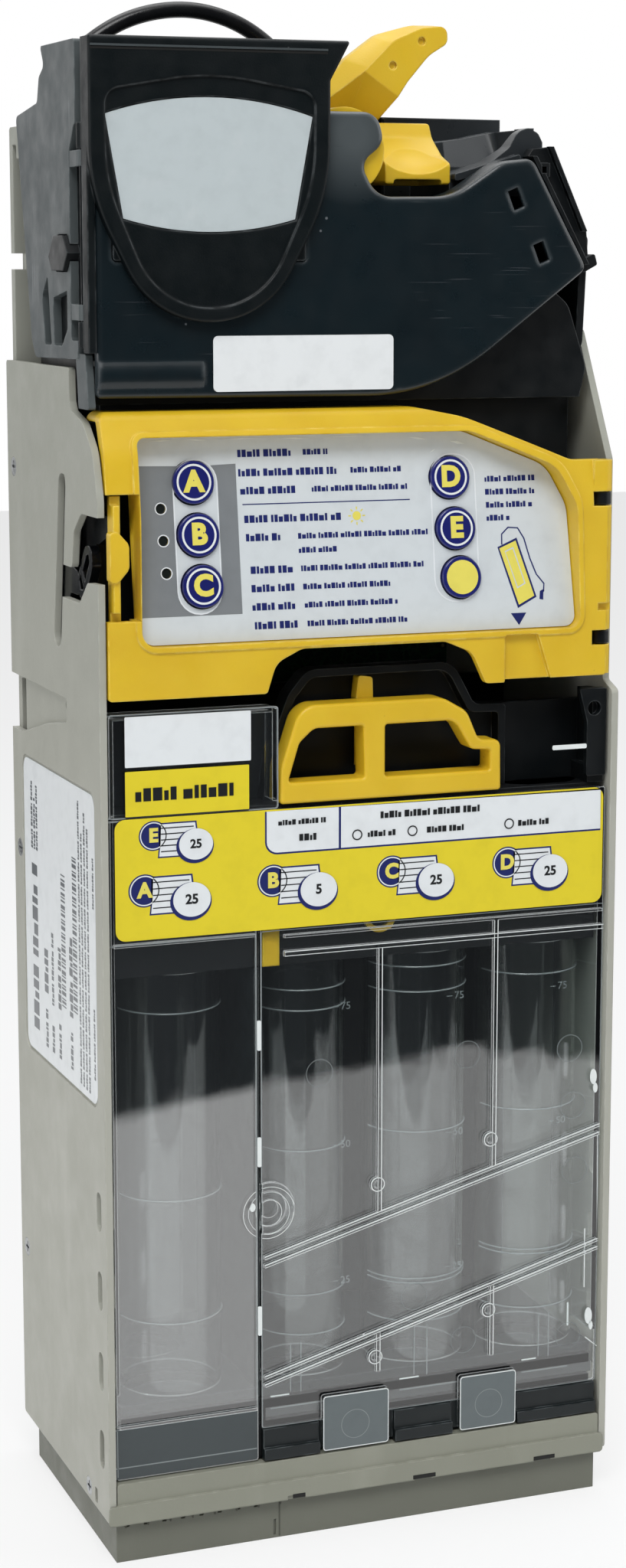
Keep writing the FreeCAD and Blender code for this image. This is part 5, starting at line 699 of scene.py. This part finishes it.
def print_label():
    """Fields, greeked lines, pictogram, and painted highlights on the creases of the keypad's film."""
    film = on_label(FILM_DEPTH)
    panel = Print("label_panel", "ink_grey", film)
    holes = [circle(u, v, LAMP_HOLE) for u, v in LAMPS]
    left, right, foot, head = PANEL
    strip = rounded(*STRIPS[0], STRIP_ROUND)
    notch = [point for point in strip[CORNER_STEPS::-1] + strip[:CORNER_STEPS:-1] if point[1] < head]
    panel.shape([(right, foot), (right, head), *notch, (left, head), (left, foot)], *holes)
    panel.done("door", "grey_film")
    rims = Print("label_lamp_rims", "ink_pale", film, 0.05, 0.08)
    for u, v in LAMPS:
        rims.ring(u, v, *LAMP_RIM)
    rims.done("door", "pale_label")
    strips = Print("label_strips", "ink_pale", film, 0.01)
    for u0, u1, v0, v1 in STRIPS:
        inner = (u0 + STRIP_EDGE, u1 - STRIP_EDGE, v0 + STRIP_EDGE, v1 - STRIP_EDGE)
        strips.shape(rounded(u0, u1, v0, v1, STRIP_ROUND), rounded(*inner, STRIP_ROUND - 0.3))
    strips.done("door", "pale_label")
    words = Print("label_words", "ink_navy", film, 0.01)
    for index, (v, dark, light) in enumerate(TEXT_LINES):
        if dark:
            words.words(*dark, v, DARK_HEIGHT, index)
        if light:
            words.words(*light, v, LIGHT_HEIGHT, index + 3)
    for index, (v, u0, u1) in enumerate(SIDE_LINES):
        words.words(u0, u1, v, SIDE_HEIGHT, index + 5)
    words.field(*RULE)
    words.shape(MARKER)
    words.line(ARROW, ARROW_WIDTH)
    words.shape(ARROW_HEAD)
    words.shape(CASSETTE_OUTLINE, CASSETTE_INSIDE)
    words.done("door", "grey_film")
    # painted highlights along the film's creases
    creases = Print("label_creases", "painted_glint", film, 0.02)
    for start, end, width in CREASES:
        middle = ((start[0] + end[0]) / 2, (start[1] + end[1]) / 2 - width / 2)
        creases.shape([start, (middle[0], middle[1] + width), end, middle])
    creases.done("door", "grey_film")
    yellow = Print("label_pictogram", "ink_yellow", film, 0.005)
    yellow.shape(CASSETTE_INSIDE, CASSETTE_BORDER)
    yellow.shape(CASSETTE_STRIPE)
    yellow.oval(*SIGN, SIGN_ROUND)
    for index in range(RAYS):
        angle = 2 * math.pi * index / RAYS
        ray = [(SIGN[0] + reach * math.cos(angle), SIGN[1] + reach * math.sin(angle))
               for reach in RAY_REACH]
        yellow.line(ray, RAY_WIDTH)
    yellow.done("door", "yellow_plastic")


# ----------------------------------------------------------------------- cards
CARD = (-64.8, 65.3, 160.0, 190.0)  # coin card: left, right, bottom, top
CARD_ROUND = 2.6
FIELD = (-26.0, 64.6, 179.2, 189.6)  # its white field
FIELD_ROUND, FIELD_RIM, RIM_ROUND = 2.8, 0.45, 3.2
FIELD_RULE = (-7.1, -6.5)  # the navy line that parts the field: left and right
NAME_CARD = (-62.0, -30.5, 190.6, 201.6)
BLANK_CARD = (-62.0, -30.0, 202.6, 214.9)
# Middle and number of the drawing that stands for each tube
TUBE_ICONS = {
    "a": (-54.0, 171.0, "25"), "b": (-21.0, 171.0, "5"), "c": (10.5, 171.0, "25"),
    "d": (42.0, 171.0, "25"), "e": (-52.0, 184.5, "25"),
}
SMALL_ICON = 0.9  # size of the one in the white field
DISC_PLACE, DISC_ROUND, DISC_RING = (-3.4, 1.2), 4.1, (3.75, 3.45)
STACK = [(-1.2, 4.2), (8.4, 4.2), (8.8, 1.0), (8.0, -3.0), (6.6, -4.6), (-1.8, -4.6), (-1.4, -1.0)]
STACK_MIDDLE, STACK_RIM = 3.0, 0.4
STACK_LINES, STACK_TOP, STACK_STEP, STACK_LINE = 5, 3.0, 1.6, (-1.3, 8.0, 0.26)
ICON_LETTER, ICON_NUMBER = (3.5, 0.24), (2.3, 0.16)  # height and weight
COIN_PLACE, COIN_ROUND, COIN_SQUEEZE = (8.6, -1.8), 4.3, 1.12
COIN_EDGE_SHIFT, COIN_EDGE_ROUND = (-0.25, -0.45), 4.75
# Greeked lines on the cards: start, end, height above the base, size and seed
CARD_LINES = [
    (-23.0, -10.0, 186.6, 1.3, 2), (-17.5, -13.0, 182.6, 1.7, 3), (4.0, 31.0, 186.8, 1.7, 4),
    (0.6, 8.0, 182.2, 1.5, 5), (16.5, 26.5, 182.2, 1.5, 6), (41.5, 50.5, 182.2, 1.5, 7),
]
NAME_LINE = (-59.5, -33.0, 195.8, 3.2, 8)
CARD_DOTS = [(-2.2, 182.2), (12.6, 182.2), (39.0, 182.2)]
CARD_DOT = (1.35, 1.05)  # outer and inner radius


def print_cards():
    """Coin card behind the pocket's window: fields, and a stack, a coin and a letter for each tube."""
    face = upright(CARD_FRONT)
    u0, u1, v0, v1 = FIELD
    rule0, rule1 = FIELD_RULE
    yellow = Print("card_yellow", "ink_card", face)
    rim = rounded(u0 - FIELD_RIM, u1, v0 - FIELD_RIM, v1, 0.0, RIM_ROUND)
    yellow.shape(rounded(*CARD, CARD_ROUND), rim)
    yellow.field(*NAME_CARD, 0.2)
    yellow.done("cassette", "card")
    white = Print("card_white", "ink_white", face)
    white.field(u0, rule0, v0, v1, 0.0, FIELD_ROUND)
    white.field(rule1, u1, v0, v1)
    white.field(*BLANK_CARD, 0.3)
    white.done("cassette", "card")
    navy = Print("card_navy", "ink_navy", face, 0.01)
    navy.shape(rim, rounded(u0, u1 - 0.01, v0, v1 - 0.01, 0.0, FIELD_ROUND))
    navy.field(rule0, rule1, v0, v1)
    stacks = Print("card_stacks", "ink_white", face, 0.05)
    letters = Print("card_letters", "ink_yellow", face, 0.10)
    lines = Print("card_lines", "ink_black", face, 0.10)
    edges = Print("card_coin_edges", "ink_navy", face, 0.14)
    coins = Print("card_coins", "ink_white", face, 0.18)
    numbers = Print("card_numbers", "ink_black", face, 0.22)
    for name, (u, v, number) in TUBE_ICONS.items():
        size = SMALL_ICON if name == "e" else 1.0
        disc = (u + DISC_PLACE[0] * size, v + DISC_PLACE[1] * size)
        draw_stack(navy, stacks, lines, u, v, size, disc)
        letters.letter(name.upper(), *disc, ICON_LETTER[0] * size, ICON_LETTER[1])
        coin = (u + COIN_PLACE[0] * size, v + COIN_PLACE[1] * size)
        edge = (coin[0] + COIN_EDGE_SHIFT[0], coin[1] + COIN_EDGE_SHIFT[1])
        edges.oval(*edge, COIN_EDGE_ROUND * size, COIN_SQUEEZE)
        coins.oval(*coin, COIN_ROUND * size, COIN_SQUEEZE)
        numbers.letter(number, *coin, ICON_NUMBER[0] * size, ICON_NUMBER[1])
    for line in CARD_LINES:
        lines.words(*line)
    for dot in CARD_DOTS:
        lines.ring(*dot, *CARD_DOT)
    lines.words(*NAME_LINE)
    for layer in (navy, stacks, letters, lines, edges, coins, numbers):
        layer.done("cassette", "card")


def draw_stack(navy, stacks, lines, u, v, size, disc):
    """Disc for the tube's letter, and beside it a stack of coins seen on edge."""
    navy.oval(*disc, DISC_ROUND * size)
    stacks.ring(*disc, *[radius * size for radius in DISC_RING])
    outline = [(a + math.copysign(STACK_RIM, a - STACK_MIDDLE), b + math.copysign(STACK_RIM, b))
               for a, b in STACK]
    navy.shape([(u + a * size, v + b * size) for a, b in outline])
    stacks.shape([(u + a * size, v + b * size) for a, b in STACK])
    start, end, thick = STACK_LINE
    for index in range(STACK_LINES):
        level = v + (STACK_TOP - STACK_STEP * index) * size
        lines.field(u + start * size, u + end * size, level, level + thick)


# ---------------------------------------------------------------- rating label
# Greeked lines that read upwards on the left wall: start, end, y, height and seed
RATING_LINES = [
    (124.0, 168.0, 22.0, 5.0, 3),
    (172.0, 190.0, 24.0, 1.5, 24), (172.0, 186.0, 21.6, 1.5, 21), (172.0, 189.0, 19.4, 1.5, 19),
    (121.5, 132.0, 12.0, 2.0, 24), (136.0, 148.0, 12.0, 3.4, 27),
    (121.5, 130.0, 6.0, 2.0, 18), (134.0, 153.0, 6.0, 1.8, 21),
    (121.5, 130.5, -0.4, 2.0, 12), (134.5, 150.5, -0.4, 2.6, 15),
    (121.5, 131.0, -11.0, 2.0, 1), (135.0, 156.0, -11.0, 2.8, 4),
    (120.0, 192.0, -19.0, 1.15, 192), (119.8, 184.0, -21.4, 1.15, 184), (119.6, 190.0, -24.0, 1.15, 190),
    (119.5, 186.0, -26.6, 1.15, 186), (124.0, 142.0, -31.2, 1.15, 142), (167.0, 180.0, -31.2, 1.15, 180),
]
RATING_BARS = [(136.0, 170.0, -4.4), (137.0, 177.0, -14.8)]  # start, end and y of each row of bars
BAR_HALF = 1.8
BAR_WIDTHS, BAR_GAPS = (0.35, 0.7, 0.35, 1.0, 0.5), (0.5, 0.35, 0.8)


def print_rating_label():
    """Greeked lines and rows of bars, which hold no code, on the rating label."""
    face = reading_up(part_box("rating_label")[0].x / MM)
    words = Print("rating_words", "ink_dim", face)
    for line in RATING_LINES:
        words.words(*line)
    for u, high, v in RATING_BARS:
        step = 0
        while u < high:
            wide = BAR_WIDTHS[step % len(BAR_WIDTHS)]
            words.field(u, u + wide, v - BAR_HALF, v + BAR_HALF)
            u += wide + BAR_GAPS[step % len(BAR_GAPS)]
            step += 1
    words.done("chassis", "pale_label")


# ------------------------------------------------------- marks that face the front
COVER_FACE = -38.0  # y of the face of the cassette's covers
RIB_FACE, TAB_FACE = COVER_FACE - 0.9, COVER_FACE - 1.5
BRACKET_FACE, CLIP_FACE, PLINTH_FACE, HEAD_FACE = -37.9, -36.24, -37.5, -37.0
# Ribs on the front cover: start, end and width
RIBS = [
    ((-21.5, 153.6), (65.8, 153.6), 1.3), ((4.0, 153.0), (4.0, 84.6), 1.2),
    ((35.6, 157.6), (35.6, 92.8), 1.2), ((-26.9, 75.6), (65.8, 100.6), 0.9),
    ((-26.9, 73.4), (65.8, 98.4), 0.9), ((-26.9, 44.0), (65.8, 69.4), 0.9),
    ((-26.9, 41.8), (65.8, 67.2), 0.9), ((3.8, 51.4), (3.8, 41.8), 1.2), ((35.5, 60.4), (35.5, 41.8), 1.2),
]
RIB_INSET = 0.14
RIB_LINES = ((1, 0.2), (-1, 0.11))  # side of the rib and width of its lit line
RIB_RINGS = [(3.5, 91.5), (34.7, 100.0), (3.0, 45.5), (34.6, 54.0)]
BOSS = (-25.6, 87.2)
BOSS_RINGS = ((6.75, 0.14), (5.4, 0.1), (3.4, 0.16))  # radius and width
BOSS_STEPS = 72
SEAM = (-28.8, -27.4)  # the boss's rings stop at the seam between the covers
TABS = [(-11.5, 6.5), (26.5, 42.3)]
EJECTORS = [(57.1, 121.8), (28.3, 122.9), (58.3, 106.4), (59.1, 88.8), (27.9, 46.5), (57.9, 43.7),
            (-12.0, 122.0), (14.0, 60.0)]
SEAM_CLIP_X, SEAM_CLIPS = -28.1, (133.3, 103.3, 59.1)
# Spring clips at the feet of the tubes, then their webs: left, right, bottom, top
TUBE_CLIPS = [
    (-24.9, -19.8, 37.8, 38.2), (-17.2, -11.9, 37.2, 37.6), (10.5, 15.9, 37.6, 38.0),
    (19.9, 26.7, 37.0, 37.4), (45.1, 49.2, 38.0, 38.4), (51.0, 58.3, 37.2, 37.6), (58.0, 58.5, 46.0, 52.4),
]
TUBE_WEBS = [
    (-24.9, -11.3, 34.6, 35.0), (-19.6, -19.3, 38.6, 51.6), (-16.8, -16.5, 38.2, 51.6),
    (10.5, 26.7, 34.6, 35.0), (14.4, 14.7, 38.4, 51.8), (18.0, 18.3, 38.0, 51.8),
    (45.1, 58.3, 34.6, 35.0), (49.7, 50.0, 38.6, 50.4), (52.6, 52.9, 38.2, 50.4),
]
PLINTH_SLOTS = [(-20.0, -16.6), (13.2, 19.5), (47.5, 53.6)]
TEETH, TEETH_FROM, TEETH_STEP = 8, -64.6, 5.9
TOOTH = [(0.0, 10.8), (0.7, 8.9), (1.0, 8.9), (1.2, 10.8)]  # from the tooth's left, and height
TOOTH_GAP = [(1.2, 10.8), (1.2, 10.1), (5.9, 10.3), (5.9, 10.8)]


def rib_edges():
    """Two painted highlights along each rib, and painted highlight rings at their crossings."""
    marks = []
    for (x0, z0), (x1, z1), width in RIBS:
        along = Vector((x1 - x0, z1 - z0)).normalized()
        side = Vector((-along.y, along.x)) * (width / 2 - RIB_INSET)
        for sign, thick in RIB_LINES:
            start = (x0 + sign * side.x, z0 + sign * side.y)
            end = (x1 + sign * side.x, z1 + sign * side.y)
            marks.append(("line", [start, end], thick))
    return marks + [("ring", u, v, 1.88, 1.68) for u, v in RIB_RINGS]


def boss_rings():
    """Painted highlights on the rings round the boss on the front cover, whose left ends show through the
    other cover.
    """
    marks = []
    half = BOSS_STEPS // 2
    for radius, width in BOSS_RINGS:
        ring = circle(*BOSS, radius, count=BOSS_STEPS)
        marks.append(("line", [point for point in ring[half:] + ring[:half] if point[0] > SEAM[1]], width))
        left = [point for point in ring if point[0] < SEAM[0]]
        if len(left) > 2:
            marks.append(("line", left, width))
    return marks


# Painted shadows under the plinth's lip, at its teeth and in the gaps between them.
def plinth_teeth_shade():
    marks = []
    for index in range(TEETH):
        left = TEETH_FROM + TEETH_STEP * index
        for outline in (TOOTH, TOOTH_GAP):
            marks.append(("shape", [(left + u, v) for u, v in outline]))
    return marks + [("field", -22.9, -22.6, 0.4, 10.6)]


def front_marks():
    """Marks on the covers, the feet of the tubes, the base and the head; most are painted highlights, and
    some painted shade.

    Each row has the name of a piece, its finish, the y of its back, its thickness and its marks. The
    numbers of a mark are those of the method of Print that it names.
    """
    return {("cassette", "clear_plastic"): [
        ("cover_rib_edges", "painted_glint", RIB_FACE, INK, rib_edges()),
        ("cover_boss_edges", "painted_glint", COVER_FACE, INK, boss_rings()),
        # painted highlight: a bright spot on the boss
        ("cover_boss_spot", "painted_glint", COVER_FACE, INK, [
            ("oval", BOSS[0] - 4.3, BOSS[1] + 1.8, 1.1, 0.7)]),
        # painted highlights along the tabs' edges
        ("cover_tab_edges", "painted_glint", TAB_FACE, INK, [
            ("border", x0 + 0.05, x1 - 0.05, 22.4, 36.9, 0.18, 0.8) for x0, x1 in TABS]),
        # painted dim highlights on the ejector rings and the covers' borders
        ("ejector_marks", "painted_dim_glint", COVER_FACE, INK, [
            *[("ring", u, v, 3.6, 3.48) for u, v in EJECTORS],
            ("border", -67.0, -28.7, 36.2, 189.6, 0.22), ("line", [(-66.6, 158.9), (-28.8, 158.9)], 0.2),
            ("border", -27.5, 66.0, 30.3, 159.6, 0.2)]),
        # painted dim highlights on the tabs' rings
        ("tab_marks", "painted_dim_glint", TAB_FACE, INK, [
            ("ring", -2.7, 28.6, 3.9, 3.72), ("ring", 34.6, 28.8, 3.9, 3.72)]),
        # painted reflections along the cover's right edge
        ("cover_side_edges", "painted_glint", COVER_FACE, INK, [
            ("line", [(65.5, 97.6), (65.9, 69.6)], 0.2), ("line", [(62.3, 72.5), (62.4, 56.4)], 0.26),
            ("line", [(62.9, 42.6), (66.4, 39.6)], 0.22)]),
        # painted highlights on the clips along the seam, and ovals of painted light where holes at the
        # right edge show the background
        ("seam_clips", "painted_glint", COVER_FACE, 0.5, [
            *[("field", SEAM_CLIP_X - 0.55, SEAM_CLIP_X + 0.45, v - 3.8, v + 3.8, 0.3) for v in SEAM_CLIPS],
            ("oval", 63.9, 113.6, 2.0, 0.45), ("oval", 64.5, 110.6, 1.3, 0.45),
            ("oval", 63.6, 48.5, 2.2, 0.45), ("oval", 64.3, 45.8, 1.2, 0.45)]),
        ("window_skirt", "smoky_skirt", COVER_FACE, 0.06, [("field", -66.9, -28.8, 22.3, 35.6, 0.4)]),
        ("tab_faces", "smoky_tab", TAB_FACE + 0.02, 0.03, [
            ("field", x0 + 0.2, x1 - 0.2, 22.5, 36.8, 0.7) for x0, x1 in TABS]),
        # painted dim highlights along the skirt's edges
        ("window_skirt_lines", "painted_dim_glint", COVER_FACE - 0.06, INK, [
            ("line", [(-66.4, 35.3), (-29.0, 35.3)], 0.25), ("line", [(-66.4, 25.2), (-29.0, 25.2)], 0.3),
            ("line", [(-65.8, 22.8), (-65.8, 35.0)], 0.25)]),
        # painted dim highlights along the pocket's edges
        ("pocket_edges", "painted_dim_glint", COVER_FACE, INK, [
            ("border", -67.0, -22.9, 190.2, 215.4, 0.25, 0.8)]),
        # painted highlights on the tubes' clips, and painted dim highlights on their webs
        ("tube_clips", "painted_glint", CLIP_FACE, INK, [("field", *place, 0.1) for place in TUBE_CLIPS]),
        ("tube_webs", "painted_dim_glint", CLIP_FACE, INK, [("field", *place, 0.1) for place in TUBE_WEBS]),
    ], ("cassette", "black_plastic"): [
        # painted light: a bright strip where the background shows through the bracket's slot
        ("bracket_slot", "painted_glint", BRACKET_FACE, INK, [("field", 51.0, 60.6, 200.2, 201.4, 0.4)]),
    ], ("chassis", "base_steel"): [
        # painted shade in the plinth's slots
        ("plinth_slots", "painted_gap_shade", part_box("base_plinth")[0].y / MM, INK, [
            ("field", u0, u1, 11.1, 12.2, 0.1) for u0, u1 in PLINTH_SLOTS]),
        # painted shadows under the plinth's lip
        ("plinth_teeth_shade", "base_shadow", PLINTH_FACE, 0.12, plinth_teeth_shade()),
    ], ("lid", "black_plastic"): [
        # the ledge strip is real; its lighter grey is a painted highlight, and the dark line under it
        # painted shade
        ("head_ledge", "painted_ledge_highlight", HEAD_FACE, 0.25, [("field", -68.0, -9.6, 370.9, 371.4, 0.1)]),
        ("head_line", "painted_gap_shade", HEAD_FACE, INK, [("field", -68.0, -9.6, 370.2, 370.8, 0.1)]),
    ]}


def draw_front_marks():
    for (body, slot), pieces in front_marks().items():
        for name, finish, y, thick, marks in pieces:
            piece = Print(name, finish, upright(y), thick=thick)
            for kind, *numbers in marks:
                getattr(piece, kind)(*numbers)
            piece.done(body, slot)


# ----------------------------------------------------------- marks on the tubes
# Tube centre line and outer radius, with the heights of its bands
TUBE_BANDS = {
    "d": (51.4, 13.4, (141.6, 105.5, 67.6, 66.4, 51.7)),
    "c": (19.8, 13.4, (146.2, 139.7, 102.8, 63.6, 62.4, 52.2)),
    "b": (-11.8, 11.8, (142.5, 137.2, 100.6, 62.5, 52.0)),
    "a": (-47.0, 13.4, (140.0, 92.0, 60.0)),
}
BAND_LIFT, BAND_HALF = 0.05, 0.22
BAND_FROM, BAND_SWEEP = 190, 160  # degrees round the tube: only its front is banded
BAND_STEPS, BAND_SIDES = 36, 6
TUBE_Y = -21.5
TUBE_FRONT = 13.3  # from the tubes' centre lines to the face with the graduations
GRADUATIONS = ("75", "50", "25")
NUMBERS_X = (-4.0, 27.0, 56.0)
NUMBER_TOP, NUMBER_STEP, NUMBER_HEIGHT = 138.0, 36.0, 1.9
TICK = (-3.4, -1.9, 137.9, 138.1)  # left and right from the number; foot and head of the top one


def mark_tubes():
    """Raised bands round the tubes, and the graduations near their heads, both drawn in a painted dim
    highlight.
    """
    rings = bmesh.new()
    for x, radius, heights in TUBE_BANDS.values():
        for z in heights:
            add_ring(rings, x, TUBE_Y, z, radius + BAND_LIFT, BAND_HALF)
    bands = add_solid("tube_bands", rings, MATERIALS["painted_dim_glint"])
    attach(bands, "cassette")
    numbers = Print("tube_numbers", "painted_dim_glint", upright(TUBE_Y - TUBE_FRONT))
    left, right, foot, head = TICK
    for x in NUMBERS_X:
        for index, value in enumerate(GRADUATIONS):
            drop = NUMBER_STEP * index
            numbers.letter(value, x, NUMBER_TOP - drop, NUMBER_HEIGHT, 0.0)
            numbers.field(x + left, x + right, foot - drop, head - drop)
    numbers.done("cassette", "clear_plastic")


def add_ring(rings, x, y, z, radius, half):
    """Front part of a thin round band about an upright tube."""
    rows = []
    for index in range(BAND_STEPS + 1):
        angle = math.radians(BAND_FROM + BAND_SWEEP * index / BAND_STEPS)
        row = []
        for side in range(BAND_SIDES):
            tilt = 2 * math.pi * side / BAND_SIDES
            reach = radius + half * math.cos(tilt)
            row.append(rings.verts.new(mm(x + reach * math.cos(angle), y + reach * math.sin(angle),
                                          z + half * math.sin(tilt))))
        rows.append(row)
    for before, after in zip(rows, rows[1:]):
        for side in range(BAND_SIDES):
            rings.faces.new((before[side], before[side - 1], after[side - 1], after[side]))
    rings.faces.new(rows[0])
    rings.faces.new(rows[-1][::-1])


# ------------------------------------------------------------------- the cable
CABLE_POINTS = [(-59.8, 20.0, 362.8), (-57.9, 20.0, 368.8), (-51.0, 20.0, 376.3), (-39.6, 20.0, 382.6),
                (-25.8, 20.0, 384.8), (-13.1, 20.0, 382.1), (-2.9, 20.0, 375.7), (3.5, 20.0, 368.0),
                (6.0, 20.0, 362.8)]
CABLE_D = 0.004  # metres, as the length is


def make_cable():
    """The loop on the rear deck, from gland to gland along the CAD's own centre line."""
    curve = bpy.data.curves.new("loop_cable", "CURVE")
    curve.dimensions = "3D"
    curve.bevel_depth = CABLE_D / 2
    curve.bevel_resolution = 6
    curve.resolution_u = 16
    curve.use_fill_caps = True
    spline = curve.splines.new("NURBS")
    spline.points.add(len(CABLE_POINTS) - 1)
    for point, place in zip(spline.points, CABLE_POINTS):
        point.co = (*mm(*place), 1.0)
    spline.order_u = 3
    spline.use_endpoint_u = True
    curve.materials.append(MATERIALS["cable_jacket"])
    cable = add_object("loop_cable", curve)
    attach(cable, "chassis")
    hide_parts("harness_cable")


# --------------------------------------------------------------- stage, lights
# In reflections the bright paper ends along two slanting lines in front, given by how far they lie before
# the middle and by their slopes, and along one straight line at the back
FLOOR_HALF = 3.0
PAPER_FRONT, PAPER_SLOPE = 0.398, 0.29
PAPER_CORNER, CORNER_SLOPE = 0.672, -1.0
PAPER_BACK, BACK_SOFT = 0.7, 0.01
PAPER_SOFT = 0.006
PAPER_GLOW = 0.72  # share of pure white in the floor that the camera sees
BEYOND_PAPER = (0.05, 0.055, 0.06, 1.0)
ROOM_LIGHT = (0.30, 0.31, 0.32, 1.0)


def make_floor():
    grid = bmesh.new()
    bmesh.ops.create_grid(grid, x_segments=1, y_segments=1, size=FLOOR_HALF)
    make_paper()
    floor = add_solid("floor", grid, MATERIALS["studio_floor"])


def make_paper():
    """White paper to the camera; in reflections it is dark beyond the paper's ends."""
    finish = Finish("studio_floor", (0.84, 0.84, 0.84), 0.9, Specular_IOR_Level=0.1)
    ray = finish.node("ShaderNodeLightPath").outputs
    white = finish.node("ShaderNodeEmission", {"Strength": 1.0}).outputs["Emission"]
    dark = finish.node("ShaderNodeEmission", {"Color": BEYOND_PAPER}).outputs["Emission"]
    front = paper_edge(finish, PAPER_FRONT, PAPER_SLOPE)
    corner = paper_edge(finish, PAPER_CORNER, CORNER_SLOPE)
    back = finish.steps(finish.axis("Y"), PAPER_BACK, PAPER_BACK + BACK_SOFT, 1.0, 0.0)
    paper = finish.times(finish.times(front, corner), back)
    mirrored = finish.blend(paper, dark, white)
    glow = finish.times(ray["Is Camera Ray"], PAPER_GLOW)
    seen = finish.blend(glow, finish.shader.outputs["BSDF"], white)
    finish.surface(finish.blend(ray["Is Glossy Ray"], seen, mirrored))


def paper_edge(finish, start, slope):
    """1 behind the line y = -start - slope * x on the floor, and 0 before it."""
    level = finish.times(finish.times(finish.axis("X"), slope), finish.axis("Y"), "ADD")
    return finish.steps(level, -start - PAPER_SOFT, -start + PAPER_SOFT)


def make_world():
    """Grey light from all round, and pure white to the camera, in reflections and through clear parts."""
    world = bpy.data.worlds.new("studio")
    bpy.context.scene.world = world
    world.use_nodes = True
    tree = world.node_tree
    tree.nodes.clear()
    ray = add_node(tree, "ShaderNodeLightPath").outputs
    lit = add_node(tree, "ShaderNodeBackground", {"Color": ROOM_LIGHT, "Strength": 1.0})
    white = add_node(tree, "ShaderNodeBackground", {"Color": (1.0, 1.0, 1.0, 1.0)})
    seen = ray["Is Camera Ray"]
    for words in ("Is Transmission Ray", "Is Glossy Ray"):
        either = add_node(tree, "ShaderNodeMath", {0: seen, 1: ray[words]}, operation="MAXIMUM")
        seen = either.outputs["Value"]
    inputs = {"Fac": seen, 1: lit.outputs["Background"], 2: white.outputs["Background"]}
    mix = add_node(tree, "ShaderNodeMixShader", inputs)
    add_node(tree, "ShaderNodeOutputWorld", {"Surface": mix.outputs["Shader"]})


# Dark cards that keep black plastic black: place and size of each
FLAGS = {
    "flag_front": ((0.0, -1.5, 1.1), (3.2, 0.01, 2.2)),
    "flag_left": ((-1.7, 0.0, 1.1), (0.01, 3.0, 2.2)),
}


def make_flags():
    """The dark cards are seen only in reflections."""
    Finish("flag_cloth", (0.03, 0.03, 0.032), 0.9, Specular_IOR_Level=0.0)
    for name, (place, size) in FLAGS.items():
        card = bmesh.new()
        bmesh.ops.create_cube(card, size=1.0)
        bmesh.ops.scale(card, vec=Vector(size), verts=card.verts)
        flag = add_solid(name, card, MATERIALS["flag_cloth"])
        flag.location = Vector(place)
        flag.visible_camera = False
        flag.visible_diffuse = False
        flag.visible_shadow = False
        flag.visible_transmission = False


MIDDLE = (0.0, 0.0, 0.2)
# Place, what it points at, width and height, and power of each light
LIGHTS = {
    "key": ((-0.40, -0.95, 1.45), MIDDLE, (0.9, 0.7), 17.0),
    "overhead": ((0.15, 0.25, 1.5), MIDDLE, (1.2, 0.8), 8.0),
    "left": ((-1.35, -0.25, 0.35), (0.0, 0.0, 0.05), (0.7, 0.5), 4.5),
    "right": ((1.1, -0.6, 0.6), MIDDLE, (0.6, 0.9), 2.5),
}


def make_lights():
    for name, (place, target, size, power) in LIGHTS.items():
        data = bpy.data.lights.new(name, "AREA")
        data.shape = "RECTANGLE"
        data.size, data.size_y = size
        data.energy = power
        light = add_object(name, data)
        light.location = Vector(place)
        light.rotation_euler = (Vector(target) - Vector(place)).to_track_quat("-Z", "Y").to_euler()


# ---------------------------------------------------------------------- making
bpy.context.scene.view_settings.view_transform = "Standard"
make_camera()
make_materials()
make_cable()
make_world()
make_floor()
make_flags()
make_lights()
dress_nodes()
print_buttons()
print_label()
print_cards()
print_rating_label()
draw_front_marks()
mark_tubes()
